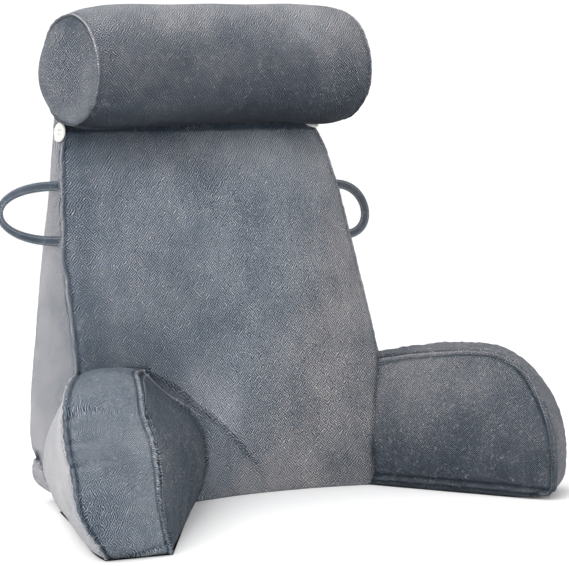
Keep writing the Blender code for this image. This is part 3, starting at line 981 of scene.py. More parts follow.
def arm_rims(name, points, u, v, w, shift, strength):
    """Relief, sideways wave, and painted highlight and shade along the inner and the outer rim, and the two
    lines themselves.
    """
    relief, sideways, pile_and_painted_light = np.zeros((3, len(points)))
    lines = {}
    for edge, side in (("inner", 0.0), ("outer", 1.0)):
        chosen = (np.abs(v - side) < 1e-6) & ((w > 0.999999) | (u > 0.999999))
        lines[edge] = seam_line(points, chosen, u - w)
        distance, along = nearest(points, lines[edge])
        if name == "left":
            strip = on_strip(u, v, w)
            lip, width = strip | (w < 0.0005), np.interp(along, (0.31, 0.36), (0.0056, 0.0030))
            # painted glints of light on the strip beside the left arm's inner seam
            glints = (0.45 + 0.55 * ripple(along, 0.010, 3.0)) * np.interp(along, (0.24, 0.36), (1, 0.25))
            pile_and_painted_light += 0.36 * (1 - side) * strip * glints * fade(distance, 0.0035, 0.0075)
        else:
            lip, width = on_panel(v), LIP_WIDTH
        relief += lip_relief(distance, along, shift + 4 * side, lip, width, strength)
        pile_and_painted_light += lip_highlight_and_shade(distance, along, lip, width)
        wave = strength * (0.0016 if side else 0.0006)
        sideways += wave * ripple(along, 0.0135, shift + side) * np.exp(-distance / 0.004)
    return relief, sideways, pile_and_painted_light, lines


def arm_root(name, points, u, v, w):
    """Relief and painted light beside the seam to the front panel: painted shade, and on the left arm a
    standing flange with a painted highlight.
    """
    root = points[(u < 1e-6) & (v < 1e-6)]
    root = root[np.argsort(root[:, 2])]
    distance, _ = nearest(points, root)
    inner = v < 0.01
    if name == "right":
        # painted shade along the right arm's root
        return 0.0, -0.25 * inner * mound(distance, 0.004), root
    crisp = np.interp(root[-1, 2] - points[:, 2], (0.0, 0.05, 0.10), (1.0, 0.6, 0.35))
    flange, beside = inner * mound(distance - 0.006, 0.0045), inner * mound(distance - 0.019, 0.006)
    crest = points[(u < 1e-6) & (w > 0.9999)]
    distance, _ = nearest(points, crest[np.argsort(crest[:, 0])])
    # painted light and shade on the strip's fold where the crest meets the backrest
    fold = 0.30 * on_strip(u, v, w) * (mound(distance - 0.006, 0.0022) - mound(distance, 0.0030))
    return 0.0020 * flange - 0.0012 * beside, crisp * (0.85 * flange - 0.16 * beside) + fold, root


def arm_details(name, points, u, v, w, shift, strength):
    """All relief, sideways wave, pile and painted light and shade of an arm, and its lines."""
    relief, sideways, pile_and_painted_light, lines = arm_rims(name, points, u, v, w, shift, strength)
    pile_and_painted_light += pile_and_painted_shade(name, u, v, w)
    root_relief, root_shade_and_highlight, lines["root"] = arm_root(name, points, u, v, w)
    gathers = on_strip(u, v, w) * strip_gathers(u, v, w, strength)
    relief += root_relief + gathers
    # the gathers also paint their ridges light and their hollows dark, as painted shade
    pile_and_painted_light += root_shade_and_highlight + 90 * gathers
    if name == "right":
        foot, foot_highlight_and_shade = foot_seam(points, v, w, strength)
    else:
        foot, foot_highlight_and_shade = (part * (u > 0.9995) for part in hem_fold(v, w))
        foot_highlight_and_shade = foot_highlight_and_shade * (v > 0.01)
    relief += foot + on_strip(u, v, w) * 0.0007 * ripple(u - w, 0.055, shift) * (1 - (2 * v - 1) ** 2)
    swells = ripple(u + 0.5 * w, 0.31, shift + 1) * ripple(w - 0.4 * u, 0.37, shift + 6)
    return relief + on_panel(v) * 0.0010 * swells, sideways, pile_and_painted_light + foot_highlight_and_shade, lines


# %% [markdown]
# The relief goes outwards and the rims' wave goes sideways, across the arm. Each point also gets its place on
# the flat cloth, in metres, because the velour's grain runs along the cloth: on the strip that is the way along
# the rim and the way from it, and on a panel the way ahead and the way up.

# %% Arm finished
GRAIN_STRETCH = 1.36  # the arms' cloth has the finer grain
NOSE_LIFT = {"left": (0.0, 0.0), "right": (0.003, 0.006)}  # the nose's foot: inner height, rise outwards


def detail_arm(name, points, faces, u, v, w, shift, strength):
    """Points, lines, pile with its painted light and shade, and cloth places. lead is the way from the inner
    panel to the outer one.
    """
    points = soften_arm(points, faces, u, v, w)
    normal = normals_of(points, faces)
    surface = arm_surface(name)
    lead = np.stack(surface(u, np.ones_like(v), w), 1) - np.stack(surface(u, np.zeros_like(v), w), 1)
    lead /= np.linalg.norm(lead, axis=1, keepdims=True)
    relief, sideways, pile_and_painted_light, lines = arm_details(name, points, u, v, w, shift, strength)
    moves = (w >= 0.0005) * fade(-u, -0.02, 0.0)
    shaped = points + (normal * relief[:, None] + lead * sideways[:, None]) * moves[:, None]
    lift = NOSE_LIFT[name][0] + NOSE_LIFT[name][1] * v
    shaped[:, 2] = np.maximum(shaped[:, 2], lift * np.clip((u - 0.80) / 0.2, 0, 1) ** 2)
    distance, along = nearest(shaped, lines["inner"])
    ahead = shaped @ np.cross(lead.mean(0), (0, 0, 1))
    cloth = np.where(on_strip(u, v, w), [along, distance], [ahead, shaped[:, 2]])
    return shaped, lines, pile_and_painted_light, GRAIN_STRETCH * np.stack([*cloth, np.zeros_like(ahead)], 1)


arms, arm_lines, arm_pile_and_painted_light, arm_cloth, arm_grids, arm_points, arm_normals = {}, {}, {}, {}, {}, {}, {}
for number, name in enumerate(ARM_ROWS):
    fine = (graded(0.29, 0.0030), graded(STRIP_WIDTH, 0.0026), graded(STRIP_HEIGHT, 0.0030, False, True))
    coarse = (np.linspace(0, 1, 35), np.linspace(0, 1, 11), np.linspace(0, 1, 21))
    print("arm", name)
    grid, points, faces = make_stuffed(arm_shape(name), coarse, fine, hold_arm, 0.004, 0.015)
    strength = 1.0 if name == "left" else 0.35
    detailed = detail_arm(name, points, faces, *grid.T, 1.7 * number + 0.4, strength)
    points, arm_lines[name], arm_pile_and_painted_light[name], arm_cloth[name] = detailed
    arms[name] = make_mesh("arm_cover_" + name, points, faces)
    arm_grids[name], arm_points[name], arm_normals[name] = grid, points, normals_of(points, faces)
    distance, _ = nearest(backrest_points, arm_lines[name]["root"])
    # painted shade on the backrest along each arm's root
    backrest_pile_and_painted_light -= 0.28 * mound(distance, 0.004)
    panel_seam = np.linalg.norm(np.diff(arm_lines[name]["inner"], axis=0), axis=1).sum()
    print("  faces", len(faces), "panel seam", round(float(panel_seam), 3), "m")

# %% [markdown]
# ## Neck roll
# A cloth tube with a round end sewn in at each side, stuffed tight. It is a profile turned about its own axis,
# which gives the even outline that the real one has, so no simulation is needed. The tube draws in over the
# last few centimetres before the end seam, and the middle of its underside is pressed in by the backrest.

# %% Roll shape
ROLL_ALONG = (0.0, 0.40, 0.66, 0.80, 0.89, 0.955, 1.0)
ROLL_PROFILE = (1.004, 1.002, 0.998, 0.984, 0.958, 0.918, 0.880)
ROLL_CAP_BULGE = 0.0131
ROLL_SIDES = 132


def roll_surface(around, along):
    """around is the angle from the underside; along is 0 to 1 on the tube and 1 to 2 over an end, signed."""
    side, far = np.sign(along), np.abs(along)
    tube = np.minimum(far, 1)
    ring = 1 - np.clip(far - 1, 0, 1)
    radius = ROLL_RADIUS * np.where(far > 1, ROLL_PROFILE[-1] * ring, smooth(tube, ROLL_ALONG, ROLL_PROFILE))
    fullness = 1.394 - 0.849 * np.cos(around - 1.031)
    bulge = ROLL_CAP_BULGE * (1 - ring**2) ** fullness * (1 + 1.153 * ring * np.cos(around - 2.077))
    out = np.where(far > 1, ROLL_HALF + bulge, ROLL_HALF * tube)
    under = np.clip(np.cos(around), 0, 1) ** 4
    radius = radius * (1 - 0.035 * under * fade(far, 0.35, 0.95))
    lower_front = np.clip(np.cos(around + 0.5), 0, 1) ** 1.5
    radius = radius + 0.0075 * lower_front * (side > 0) * (1 - fade(far, 0.45, 1.0)) * np.minimum(ring * 1.4, 1)
    slack = np.clip((far - 0.75) / 0.25, 0, 1) * ring * (side < 0)
    radius = radius * (1 - 0.04 * np.clip(np.cos(around - 2.068), 0, 1) ** 2 * slack)
    x = side * out
    y, z = radius * np.sin(around), -radius * np.cos(around) - 0.0026 * slack
    cos, sin = math.cos(ROLL_TILT), math.sin(ROLL_TILT)
    return ROLL_CENTRE[0] + x * cos - z * sin, ROLL_CENTRE[1] + y, ROLL_CENTRE[2] + x * sin + z * cos


# %% [markdown]
# The same rings of points serve the roll, the straps and the stitches. The roll's last ring at each end is one
# point, so its end is closed without a hole or a pinch.

# %% Rings of points


def tube_faces(rings, sides):
    """Four-sided faces of rings joined one to the next, each ring closed on itself."""
    ring, side = np.indices((rings - 1, sides))
    step = (side + 1) % sides
    here, ahead = ring * sides, (ring + 1) * sides
    return np.stack([here + side, here + step, ahead + step, ahead + side], -1).reshape(-1, 4)


def close_ends(count, faces):
    """The first and the last ring are one point each: they are merged, and the faces there become triangles."""
    index = np.arange(count)
    index[:ROLL_SIDES] = 0
    index[-ROLL_SIDES:] = count - ROLL_SIDES
    kept, index = np.unique(index, return_inverse=True)
    return kept, index[faces]


def make_roll():
    """Rings along the tube and over both ends; the last ring at each end shrinks onto one point."""
    tube = graded(ROLL_HALF, 0.0040, False, True)
    half = np.concatenate([tube, 1 + np.linspace(0, 1, 26)[1:]])
    along = np.concatenate([-half[::-1], half[1:]])
    along[len(half) - 1] = 1e-9
    around = np.arange(ROLL_SIDES) / ROLL_SIDES * 2 * np.pi
    grid_along, grid_around = np.meshgrid(along, around, indexing="ij")
    points = np.stack([c.ravel() for c in roll_surface(grid_around, grid_along)], 1)
    faces = tube_faces(len(along), ROLL_SIDES)
    return grid_along.ravel(), grid_around.ravel(), points, face_out(points, faces)


# %% [markdown]
# The end seams are small ridges, each with a painted highlight and painted shade in the groove beside it.
# Light is painted round the tube: light on top, dark below, a painted highlight on its upper right, and the
# darkest painted shade along the line where the roll lies on the backrest. The ends are lighter towards their
# lower edge.

# %% Roll finished


def detail_roll(along, around, points, faces):
    """Relief is the seam's ridge, groove and gathers, and slow swells; the painted light is a cosine round the
    tube.
    """
    normal = normals_of(points, faces)
    far = np.abs(along)
    seam = np.where(far <= 1, (1 - far) * ROLL_HALF, (far - 1) * ROLL_RADIUS * 1.35)
    arc = around * ROLL_RADIUS
    shift = np.sign(along)
    relief = 0.0012 * mound(seam, 0.0014) - 0.0009 * mound(seam - 0.0040, 0.0018)
    relief += 0.0009 * ripple(arc, 0.0765, shift) * np.exp(-seam / 0.016)
    relief += 0.0003 * np.sin(around * 31 + shift) * np.exp(-seam / 0.008) * (far <= 1)
    relief += 0.0009 * np.sin(around * 3 + 5 * along) * np.sin(along * 6 + 2 * around) * fade(far, 0.75, 1.0)
    relief *= fade(far, 1.80, 2.0)
    # painted light: lighter on top, darker below, a painted highlight on the upper right, painted shade
    # underneath
    tube_pile_and_painted_light = 0.325 - 0.28 * np.cos(around + 0.3)
    tube_pile_and_painted_light += 0.22 * mound(along - 0.62, 0.34) * mound(around - 4.2, 0.55)
    tube_pile_and_painted_light -= 0.18 * mound(around - 5.65, 0.50) * (1 - fade(along, -0.9, 0.2))
    cap_brightness = 0.35 + 0.14 * np.cos(around - 0.2) * (2 - far)
    pile_and_painted_light = np.where(far > 1, cap_brightness, tube_pile_and_painted_light)
    # painted highlight on the end seams' ridges, painted shade in their grooves
    pile_and_painted_light = pile_and_painted_light + 0.32 * mound(seam, 0.0015) - 0.10 * mound(seam - 0.0042, 0.0020)
    # painted shade along the line where the roll lies on the backrest
    below = np.mod(around + 0.9, 2 * np.pi) - 0.9 + 0.29
    pile_and_painted_light = pile_and_painted_light - (0.7 * mound(below, 0.070) + 0.3 * mound(below, 0.45)) * (far < 1)
    disc = (2 - far) * ROLL_RADIUS
    cloth = np.where(far > 1, [disc * np.cos(around), disc * np.sin(around)], [along * ROLL_HALF, arc])
    return points + normal * relief[:, None], pile_and_painted_light, np.stack([*cloth, 0 * arc], 1)


along, around, points, faces = make_roll()
points, roll_pile_and_painted_light, roll_cloth = detail_roll(along, around, points, faces)
keep, faces = close_ends(len(points), faces)
points, roll_pile_and_painted_light, roll_cloth = points[keep], roll_pile_and_painted_light[keep], roll_cloth[keep]
roll = make_mesh("neck_roll_cover", points, faces)
print("roll faces", len(faces))

# %% [markdown]
# ## Strap handles
# Each handle is a strip of the same cloth, folded in, pressed flat and stitched along both edges, then sewn
# into the side seam as a loop. A bevelled curve would do for a round cord, but a strap turns its flat face as
# it goes round, so a flat section is swept along half an oval. The two loops stand differently: each has its
# own height, sweep, turn and reach.

# %% Strap course
HANDLES = {  # side, middle height, degrees swept back, degrees turned over, reach
    "left": (-1, 0.3553, 27.0, -56.0, 0.071),
    "right": (1, 0.3470, 22.0, -52.0, 0.063),
}
HANDLE_HALF_SPAN = 0.0328
HANDLE_WIDTH, HANDLE_THICK = 0.0115, 0.0040
HANDLE_SINK, HANDLE_INSET = 0.006, 0.008
HANDLE_HEM = 0.0021  # the stitches' distance from the strap's edge


def handle_frames(name):
    """Centre line, width direction and face direction of a strap, from its upper end to its lower end."""
    side, middle, back, turned, far = HANDLES[name]
    angle = np.linspace(0, np.pi, 150)
    height = middle + HANDLE_HALF_SPAN * np.cos(angle)
    out = np.array([side * math.cos(math.radians(back)), math.sin(math.radians(back)), 0])
    reach = (far + HANDLE_SINK) * np.sin(angle) ** 0.8 - HANDLE_SINK
    seam = np.stack([side * backrest_row(height, 1), backrest_row(height, 3) + HANDLE_INSET, height], 1)
    centre = seam + out * reach[:, None]
    kept = inside_backrest(*centre.T) > -0.0005
    centre, angle = centre[kept], angle[kept]
    forward = np.gradient(centre, axis=0)
    forward /= np.linalg.norm(forward, axis=1, keepdims=True)
    flat = np.cross(out, (0, 0, 1))
    across = np.cross(forward, flat)
    turn = math.radians(turned) * np.sin(angle)[:, None]
    width = across * np.cos(turn) + flat * np.sin(turn)
    return centre, width, np.cross(forward, width)


# %% [markdown]
# The section is carried along that course, with slight puckers between the stitches. Both ends run on into
# the backrest's seam and are closed there.

# %% Straps
STRAP_SIDES = 40


def sweep_strap(name):
    """The section is a flat loop with rounded edges and, on both faces, a sewn groove near each edge."""
    centre, width, face = handle_frames(name)
    around = np.arange(STRAP_SIDES) / STRAP_SIDES * 2 * np.pi
    cos, sin = np.cos(around), np.sin(around)
    a = HANDLE_WIDTH / 2 * np.sign(cos) * np.abs(cos) ** 0.75
    groove = mound(np.abs(a) - HANDLE_WIDTH / 2 + HANDLE_HEM, 0.0006)
    b = HANDLE_THICK / 2 * np.sign(sin) * (np.abs(sin) ** 0.45 - 0.26 * groove)
    step = np.linalg.norm(np.diff(centre, axis=0, prepend=centre[:1]), axis=1).cumsum()
    pucker = 1 + 0.06 * ripple(step, 0.011, 1.0)[:, None]
    points = centre[:, None] + width[:, None] * a[:, None] + face[:, None] * (b * pucker)[..., None]
    # painted highlight on the strap's rounded edges and painted shade in its sewn grooves
    pile_and_painted_light = np.tile(0.20 + 0.16 * (np.abs(a) > HANDLE_WIDTH / 2 - 0.0008) - 0.16 * groove, len(centre))
    rings, last = len(centre), (len(centre) - 1) * STRAP_SIDES
    points = np.concatenate([points.reshape(-1, 3), centre[:1], centre[-1:]])
    ring = np.arange(STRAP_SIDES)
    after = (ring + 1) % STRAP_SIDES
    hub = np.full(STRAP_SIDES, rings * STRAP_SIDES)
    first_end = np.stack([after, ring, hub, hub], 1)
    last_end = np.stack([ring + last, after + last, hub + 1, hub + 1], 1)
    faces = np.concatenate([tube_faces(rings, STRAP_SIDES), first_end, last_end])
    flat = np.stack([np.repeat(step, STRAP_SIDES), np.tile(a + 0.02 * (sin > 0), rings)], 1)
    cloth = 1.5 * np.column_stack([flat, np.zeros(len(flat))])
    cloth = np.concatenate([cloth, cloth[:1], cloth[-1:]])
    return points, face_out(points, faces), np.concatenate([pile_and_painted_light, [0.3, 0.3]]), cloth


straps, strap_pile_and_painted_light, strap_cloth = {}, {}, {}
for name in HANDLES:
    points, faces, strap_pile_and_painted_light[name], strap_cloth[name] = sweep_strap(name)
    straps[name] = make_mesh("strap_" + name, points, faces)
    print("strap", name, "faces", len(faces), "reaches", np.round(np.abs(points).max(0), 4))

# %% [markdown]
# ## Stitches
# Real thread shows where a seam is stitched from the outside: along the lips of the arms, beside the
# backrest's front seams and along both edges of the straps. A dotted line in a material would be cheaper, but
# it lies flat in a close view. So each stitch is one small closed capsule of 28 faces laid along its row, and
# from far away the row reads as a fine dotted line.

# %% One row of stitches


def stitch_row(path, normal, pitch, length, radius):
    """Capsules on a path: each is 5 rings of 6 points, long in the path's direction and flat on the cloth."""
    along = np.concatenate([[0], np.cumsum(np.linalg.norm(np.diff(path, axis=0), axis=1))])
    at = np.arange(pitch / 2, along[-1], pitch)

    def follow(values, places):
        return np.stack([np.interp(places, along, values[:, axis]) for axis in range(3)], 1)

    centre, up = follow(path, at), follow(normal, at)
    ahead = follow(path, at + 0.001) - centre
    ahead /= np.maximum(np.linalg.norm(ahead, axis=1, keepdims=True), 1e-9)
    up -= ahead * (up * ahead).sum(1, keepdims=True)
    up /= np.linalg.norm(up, axis=1, keepdims=True)
    beside = np.cross(ahead, up)
    turn = np.arange(6) / 6 * 2 * np.pi
    shares, widths = np.array([-0.5, -0.38, 0.0, 0.38, 0.5]), np.array([0.15, 0.8, 1.0, 0.8, 0.15])[:, None]
    ring = centre[:, None, None] + ahead[:, None, None] * (shares * length)[None, :, None, None]
    ring = ring + up[:, None, None] * (radius * widths * np.sin(turn))[None, :, :, None]
    ring = ring + beside[:, None, None] * (1.2 * radius * widths * np.cos(turn))[None, :, :, None]
    caps = np.array([[5, 4, 3, 2], [5, 2, 1, 0], [24, 25, 26, 27], [24, 27, 28, 29]])
    capsule = np.concatenate([tube_faces(5, 6), caps])
    faces = capsule[None] + (np.arange(len(at)) * 30)[:, None, None]
    return ring.reshape(-1, 3), faces.reshape(-1, 4)


def join_rows(name, rows):
    """One mesh from several stitch rows."""
    shift = np.cumsum([0] + [len(points) for points, _ in rows])
    points = np.concatenate([points for points, _ in rows])
    faces = np.concatenate([faces + start for (_, faces), start in zip(rows, shift)])
    return make_mesh(name, points, face_out(points, faces))


# %% [markdown]
# The rows follow grid lines beside the seams, so they keep an even distance from them.

# %% Stitch rows


def arm_stitch_path(name, side):
    """The grid row 6 mm in from the rim of a panel: along the crest, then down the nose."""
    u, v, w = arm_grids[name].T
    us, ws = np.unique(u), np.unique(w)
    panel = np.abs(v - side) < 1e-6
    crest = np.flatnonzero(panel & (np.abs(w - ws[-7]) < 1e-6) & (u < us[-7] + 1e-6))
    nose = np.flatnonzero(panel & (np.abs(u - us[-7]) < 1e-6) & (w < ws[-7] - 1e-6) & (w > 0.03))
    chosen = np.concatenate([crest[np.argsort(u[crest])], nose[np.argsort(-w[nose])]])
    return arm_points[name][chosen], arm_normals[name][chosen]


STRAP_STITCH_UP = 0.00155  # the thread's height above the middle of the strap
stitches = {}
for name in arms:
    rows = [stitch_row(*arm_stitch_path(name, side), 0.0042, 0.0030, 0.00032) for side in (0.0, 1.0)]
    stitches["arm_" + name] = join_rows("stitches_arm_" + name, rows)
u, v, w = backrest_grid.T
rows = []
for side in (-1, 1):
    beside = (np.abs(u - side) < 1e-6) & (np.abs(v - np.unique(v)[5]) < 1e-6) & (w < 0.985) & (w > 0.01)
    order = np.flatnonzero(beside)[np.argsort(w[beside])]
    rows.append(stitch_row(backrest_points[order], backrest_normals[order], 0.0050, 0.0032, 0.00036))
stitches["backrest"] = join_rows("stitches_backrest", rows)
for name in HANDLES:
    centre, width, face = handle_frames(name)
    rows = []
    for edge, side in ((-1, -1), (-1, 1), (1, -1), (1, 1)):
        path = centre + width * edge * (HANDLE_WIDTH / 2 - HANDLE_HEM) + face * side * STRAP_STITCH_UP
        rows.append(stitch_row(path, face * side, 0.0036, 0.0026, 0.00045))
    stitches["strap_" + name] = join_rows("stitches_strap_" + name, rows)
print("stitch faces", {name: len(piece.data.polygons) for name, piece in stitches.items()})

# %% [markdown]
# ## Velour
# The cloth is a short-pile velour. Its pile leans, so the same cloth looks light on one panel and dark on the
# next; stroking it leaves soft patches; and close up it has a fine crossed hatch about 2.5 mm apart. A scanned
# cloth could be laid on as an image, but it would need unwrapped skins and would stretch. Nodes have no size
# limit and follow the cloth. They read three attributes of each point. The first runs from 0 (into the pile,
# dark) to 1 (along it, light), with painted shade and painted highlights added in; then cloth, its place on
# the flat cloth; and warm, how far its grey has lost its blue.

# %% Patterns for materials


def attribute(tree, name, output="Fac"):
    """One of the values that a piece keeps for each of its points."""
    node = tree.nodes.new("ShaderNodeAttribute")
    node.attribute_name = name
    return node.outputs[output]


def object_coords(tree):
    """The point's own place in metres; every piece sits at the origin, so it is the same for all."""
    return tree.nodes.new("ShaderNodeTexCoord").outputs["Object"]


def noise(tree, coords, scale, detail, stretch=(1, 1, 1)):
    """Cloudy noise about 1 / scale metres across, from 0 to 1."""
    mapping = tree.nodes.new("ShaderNodeMapping")
    mapping.inputs["Scale"].default_value = stretch
    texture = tree.nodes.new("ShaderNodeTexNoise")
    texture.inputs["Scale"].default_value = scale
    texture.inputs["Detail"].default_value = detail
    tree.links.new(coords, mapping.inputs["Vector"])
    tree.links.new(mapping.outputs["Vector"], texture.inputs["Vector"])
    return texture.outputs["Fac"]


def waves(tree, coords, pitch, slope):
    """Fine bands this far apart, rising one way or the other, each bent every few millimetres."""
    mapping = tree.nodes.new("ShaderNodeMapping")
    mapping.inputs["Scale"].default_value = (1, slope, 1)
    texture = tree.nodes.new("ShaderNodeTexWave")
    texture.bands_direction = "DIAGONAL"
    texture.inputs["Scale"].default_value = 2 * math.pi / (pitch * math.sqrt(2) * 10)
    texture.inputs["Distortion"].default_value = 4.5
    texture.inputs["Detail"].default_value = 1.0
    texture.inputs["Detail Scale"].default_value = 1.15
    tree.links.new(coords, mapping.inputs["Vector"])
    tree.links.new(mapping.outputs["Vector"], texture.inputs["Vector"])
    return texture.outputs["Fac"]


def maths(tree, operation, first, second):
    """A node for one sum; each side is a number or another node's output."""
    node = tree.nodes.new("ShaderNodeMath")
    node.operation = operation
    for slot, value in enumerate((first, second)):
        if isinstance(value, (int, float)):
            node.inputs[slot].default_value = value
        else:
            tree.links.new(value, node.inputs[slot])
    return node.outputs["Value"]


def add(tree, first, second):
    return maths(tree, "ADD", first, second)


def less(tree, first, second):
    return maths(tree, "SUBTRACT", first, second)


def times(tree, first, second):
    return maths(tree, "MULTIPLY", first, second)


def colour_ramp(tree, value, stops):
    """Colours at places from 0 to 1, blended evenly from each to the next."""
    ramp = tree.nodes.new("ShaderNodeValToRGB")
    elements = ramp.color_ramp.elements
    while len(elements) < len(stops):
        elements.new(0.5)
    for element, (place, colour) in zip(elements, stops):
        element.position, element.color = place, (*colour, 1)
    tree.links.new(value, ramp.inputs["Fac"])
    return ramp.outputs["Color"]


# %% [markdown]
# The hatch is two sets of fine bands, one rising and one falling, that take turns over patches of about 5 mm.
# One set alone looks like corduroy, and both at once like a dotted screen. A finer speckle stands for the
# single tufts.

# %% Velour grain
HATCH_PITCH = 0.0025


def velour_grain(tree, coords):
    """(falling + share * (rising - falling) - 1/2) * 1.55 + 0.55 speckle; share is noise in hard contrast."""
    cloth = attribute(tree, "cloth", "Vector")
    rising, falling = (waves(tree, cloth, HATCH_PITCH, slope) for slope in (1, -1))
    share = times(tree, less(tree, noise(tree, coords, 190, 1), 0.36), 3.5)
    hatch = add(tree, falling, times(tree, share, less(tree, rising, falling)))
    speckle = less(tree, noise(tree, coords, 720, 1), 0.5)
    return add(tree, times(tree, speckle, 0.55), times(tree, less(tree, hatch, 0.5), 1.55))


# %% [markdown]
# The pile values with their painted shade and highlights, patches, strokes and grain are added up, and a ramp
# turns the sum into colour: the dark end is bluer than the light end, as on the real cloth. Where the pile
# shows its light side or a painted highlight, the grain is weaker. Last, the warm attribute takes some of the
# blue away.

# %% Velour material
VELOUR_RAMP = (
    (0.00, (0.012, 0.016, 0.024)),
    (0.20, (0.040, 0.051, 0.068)),
    (0.40, (0.077, 0.110, 0.149)),
    (0.60, (0.136, 0.182, 0.235)),
    (0.80, (0.278, 0.303, 0.340)),
    (1.00, (0.530, 0.534, 0.552)),
)
WARM_TINT = (1.12, 1.00, 0.93, 1.0)


def velour_colour(tree, grain, patches, strokes):
    """The ramp at pile with painted light + 0.38 patches + 0.2 strokes + faded grain, times the warm tint by
    its share.
    """
    pile_and_painted_light = attribute(tree, "pile_and_painted_light")
    total = add(tree, add(tree, pile_and_painted_light, times(tree, patches, 0.38)), times(tree, strokes, 0.20))
    fading = less(tree, 0.88, times(tree, pile_and_painted_light, 0.40))
    total = add(tree, total, times(tree, times(tree, grain, 0.95), fading))
    tint = tree.nodes.new("ShaderNodeMix")
    tint.data_type, tint.blend_type = "RGBA", "MULTIPLY"
    tint.inputs["B"].default_value = WARM_TINT
    warm = add(tree, attribute(tree, "warm"), times(tree, patches, 0.25))
    tree.links.new(warm, tint.inputs["Factor"])
    tree.links.new(colour_ramp(tree, total, VELOUR_RAMP), tint.inputs["A"])
    return tint.outputs["Result"]


def make_velour():
    """Colour and bump from the nodes above; rough, hardly glossy, with a faint cool sheen."""
    material = bpy.data.materials.new("velour")
    material.use_nodes = True
    tree = material.node_tree
    shader = tree.nodes["Principled BSDF"]
    shader.inputs["Roughness"].default_value = 0.88
    shader.inputs["Specular IOR Level"].default_value = 0.12
    shader.inputs["Sheen Weight"].default_value = 0.03
    shader.inputs["Sheen Roughness"].default_value = 0.45
    shader.inputs["Sheen Tint"].default_value = (0.80, 0.86, 0.95, 1)
    coords = object_coords(tree)
    patches = less(tree, noise(tree, coords, 13, 3), 0.5)
    strokes = less(tree, noise(tree, coords, 48, 2, (1.0, 1.0, 0.6)), 0.5)
    grain = velour_grain(tree, coords)
    tree.links.new(velour_colour(tree, grain, patches, strokes), shader.inputs["Base Color"])
    bump = tree.nodes.new("ShaderNodeBump")
    bump.inputs["Strength"].default_value = 0.8
    bump.inputs["Distance"].default_value = 0.0012
    tree.links.new(add(tree, grain, times(tree, strokes, 0.8)), bump.inputs["Height"])
    tree.links.new(bump.outputs["Normal"], shader.inputs["Normal"])
    return material


velour = make_velour()
print("velour nodes", len(velour.node_tree.nodes))

# %% [markdown]
# Each piece now gets the velour, and its own three attributes. The cloth's blue fades towards the right of the
# whole pillow, as it does in the photograph's light, and on the panels that lie across the pile.

# %% Dressing the pieces


def dress(piece, pile_and_painted_light, cloth, warm=0.0, spread_warm=1.0):
    """Puts the velour on a piece: how its pile lies, with its painted shade and highlights, where each point is
    on the cloth, and how grey it is.
    """
    piece.data.materials.append(velour)
    points = np.empty(len(piece.data.vertices) * 3, np.float32)
    piece.data.vertices.foreach_get("co", points)
    x, _, z = points.reshape(-1, 3).T
    drift = warm + spread_warm * (1 - fade(x - 0.45 * (np.minimum(z, 0.4) - 0.2), 0.02, 0.17))
    for name, values in (("pile_and_painted_light", pile_and_painted_light), ("warm", drift)):
        kept = piece.data.attributes.new(name, "FLOAT", "POINT")
        kept.data.foreach_set("value", np.ascontiguousarray(values, np.float32))
    kept = piece.data.attributes.new("cloth", "FLOAT_VECTOR", "POINT")
    kept.data.foreach_set("vector", np.ascontiguousarray(cloth, np.float32).ravel())


on_side = np.abs(backrest_grid[:, 0]) > 0.999
x, y, z = backrest_points.T
dress(backrest, backrest_pile_and_painted_light, np.stack([np.where(on_side, y, x), z, 0 * z], 1), 0.70 * on_side)
for name, piece in arms.items():
    v = arm_grids[name][:, 1]
    inner_warm = 0.5 if name == "left" else 0.0
    dress(piece, arm_pile_and_painted_light[name], arm_cloth[name], 0.35 * (v > 0.999) + inner_warm * (v < 0.001), 0.85)
dress(roll, roll_pile_and_painted_light, roll_cloth, 0.8)
for name, piece in straps.items():
    dress(piece, strap_pile_and_painted_light[name], strap_cloth[name])

# %% [markdown]
# Two more finishes: polyester thread, a little paler than the cloth and slightly glossy, and the cream plastic
# of the buttons, which is smooth with a soft gloss and a faint pearly unevenness. The buttons' own solids are
# right as they are, so they stay and only get this finish in their material slots.

# %% Thread and button plastic


def plain_material(name, colour, roughness, sheen=0.0):
    """One colour all over, which the next two functions vary."""
    material = bpy.data.materials.new(name)
    material.use_nodes = True
    shader = material.node_tree.nodes["Principled BSDF"]
    shader.inputs["Base Color"].default_value = (*colour, 1)
    shader.inputs["Roughness"].default_value = roughness
    shader.inputs["Sheen Weight"].default_value = sheen
    return material


def make_thread():
    """Two plies twisted: bands about 0.6 mm apart, from dark to mid grey-blue."""
    material = plain_material("thread", (0.60, 0.64, 0.68), 0.55, 0.2)
    tree = material.node_tree
    ply = noise(tree, object_coords(tree), 1500, 1)
    colour = colour_ramp(tree, ply, ((0.0, (0.16, 0.19, 0.23)), (1.0, (0.36, 0.40, 0.45))))
    tree.links.new(colour, tree.nodes["Principled BSDF"].inputs["Base Color"])
    return material


def make_button_plastic():
    """Cream, clouded over about 5 mm, smooth enough for a soft highlight."""
    material = plain_material("button_plastic_pearl", (0.60, 0.60, 0.57), 0.28)
    tree = material.node_tree
    cloud = noise(tree, object_coords(tree), 190, 2, (1, 1, 2.5))
    colour = colour_ramp(tree, cloud, ((0.0, (0.42, 0.42, 0.39)), (1.0, (0.72, 0.72, 0.69))))
    tree.links.new(colour, tree.nodes["Principled BSDF"].inputs["Base Color"])
    return material


thread, pearl = make_thread(), make_button_plastic()
for piece in stitches.values():
    piece.data.materials.append(thread)
for name in ("button_left", "button_right"):
    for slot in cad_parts[name].material_slots:
        slot.material = pearl

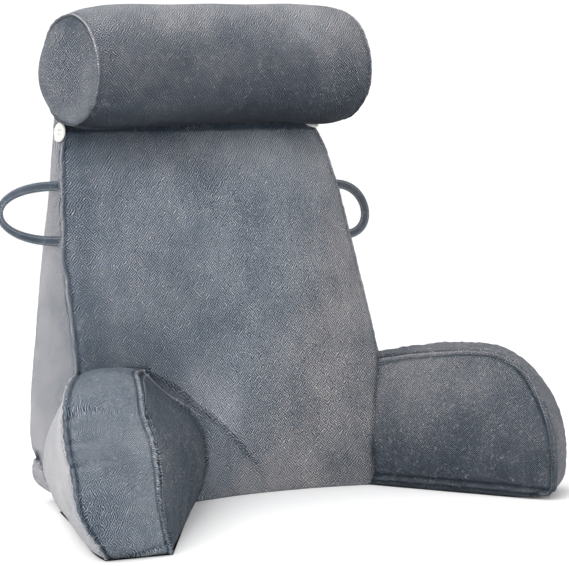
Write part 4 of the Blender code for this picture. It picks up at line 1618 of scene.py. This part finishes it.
# %% [markdown]
# ## Studio
# The photograph is a cut-out look: a white sweep, a broad light from the left and a little above, and white
# all round. One large lamp could light it alone, but its far side would go black, so a weaker one from above
# and a white room fill it in. The pillow throws only a faint shadow where it touches the floor.

# %% Floor and light
FLOOR_HALF, FLOOR_DROP = 8.0, 0.0004


def make_floor():
    """A large pale sheet just below the pillow's foot."""
    corners = FLOOR_HALF * np.array([(-1, -1, 0), (1, -1, 0), (1, 1, 0), (-1, 1, 0)]) - (0, 0, FLOOR_DROP)
    sheet = make_mesh("floor", corners, np.array([[0, 1, 2, 3]]), False)
    paper = bpy.data.materials.new("white_paper")
    paper.use_nodes = True
    shader = paper.node_tree.nodes["Principled BSDF"]
    shader.inputs["Base Color"].default_value = (0.92, 0.92, 0.92, 1)
    shader.inputs["Roughness"].default_value = 0.9
    sheet.data.materials.append(paper)
    return sheet


def add_light(name, place, size, watts, target=(0, 0, 0.25)):
    """A square area lamp, turned so that its face looks at the middle of the pillow."""
    lamp = bpy.data.lights.new(name, "AREA")
    lamp.size, lamp.energy = size, watts
    light = bpy.data.objects.new(name, lamp)
    bpy.context.scene.collection.objects.link(light)
    light.location = place
    light.rotation_euler = (Vector(place) - Vector(target)).to_track_quat("Z", "Y").to_euler()


def light_studio():
    """White all round, a large soft lamp on the left and a smaller one overhead."""
    world = bpy.data.worlds.new("white_room")
    world.use_nodes = True
    world.node_tree.nodes["Background"].inputs["Color"].default_value = (1, 1, 1, 1)
    world.node_tree.nodes["Background"].inputs["Strength"].default_value = 1.1
    bpy.context.scene.world = world
    bpy.context.scene.view_settings.view_transform = "Standard"
    add_light("left_softbox", (-2.4, -1.2, 1.7), 2.4, 62)
    add_light("top_softbox", (-0.3, 0.6, 2.6), 1.8, 30)


make_floor()
light_studio()

# %% [markdown]
# Last, every piece is tied to the body it belongs to, and the model's own solids that the covers and the
# straps replace are hidden.

# %% Finish
STUFFED = {"backrest": backrest, "arm_left": arms["left"], "arm_right": arms["right"], "neck_roll": roll}
for node, piece in STUFFED.items():
    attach(piece, "root")
    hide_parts(node)
for name, piece in straps.items():
    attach(piece, "root")
    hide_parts("handle_" + name)
for name, piece in stitches.items():
    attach(piece, "root")
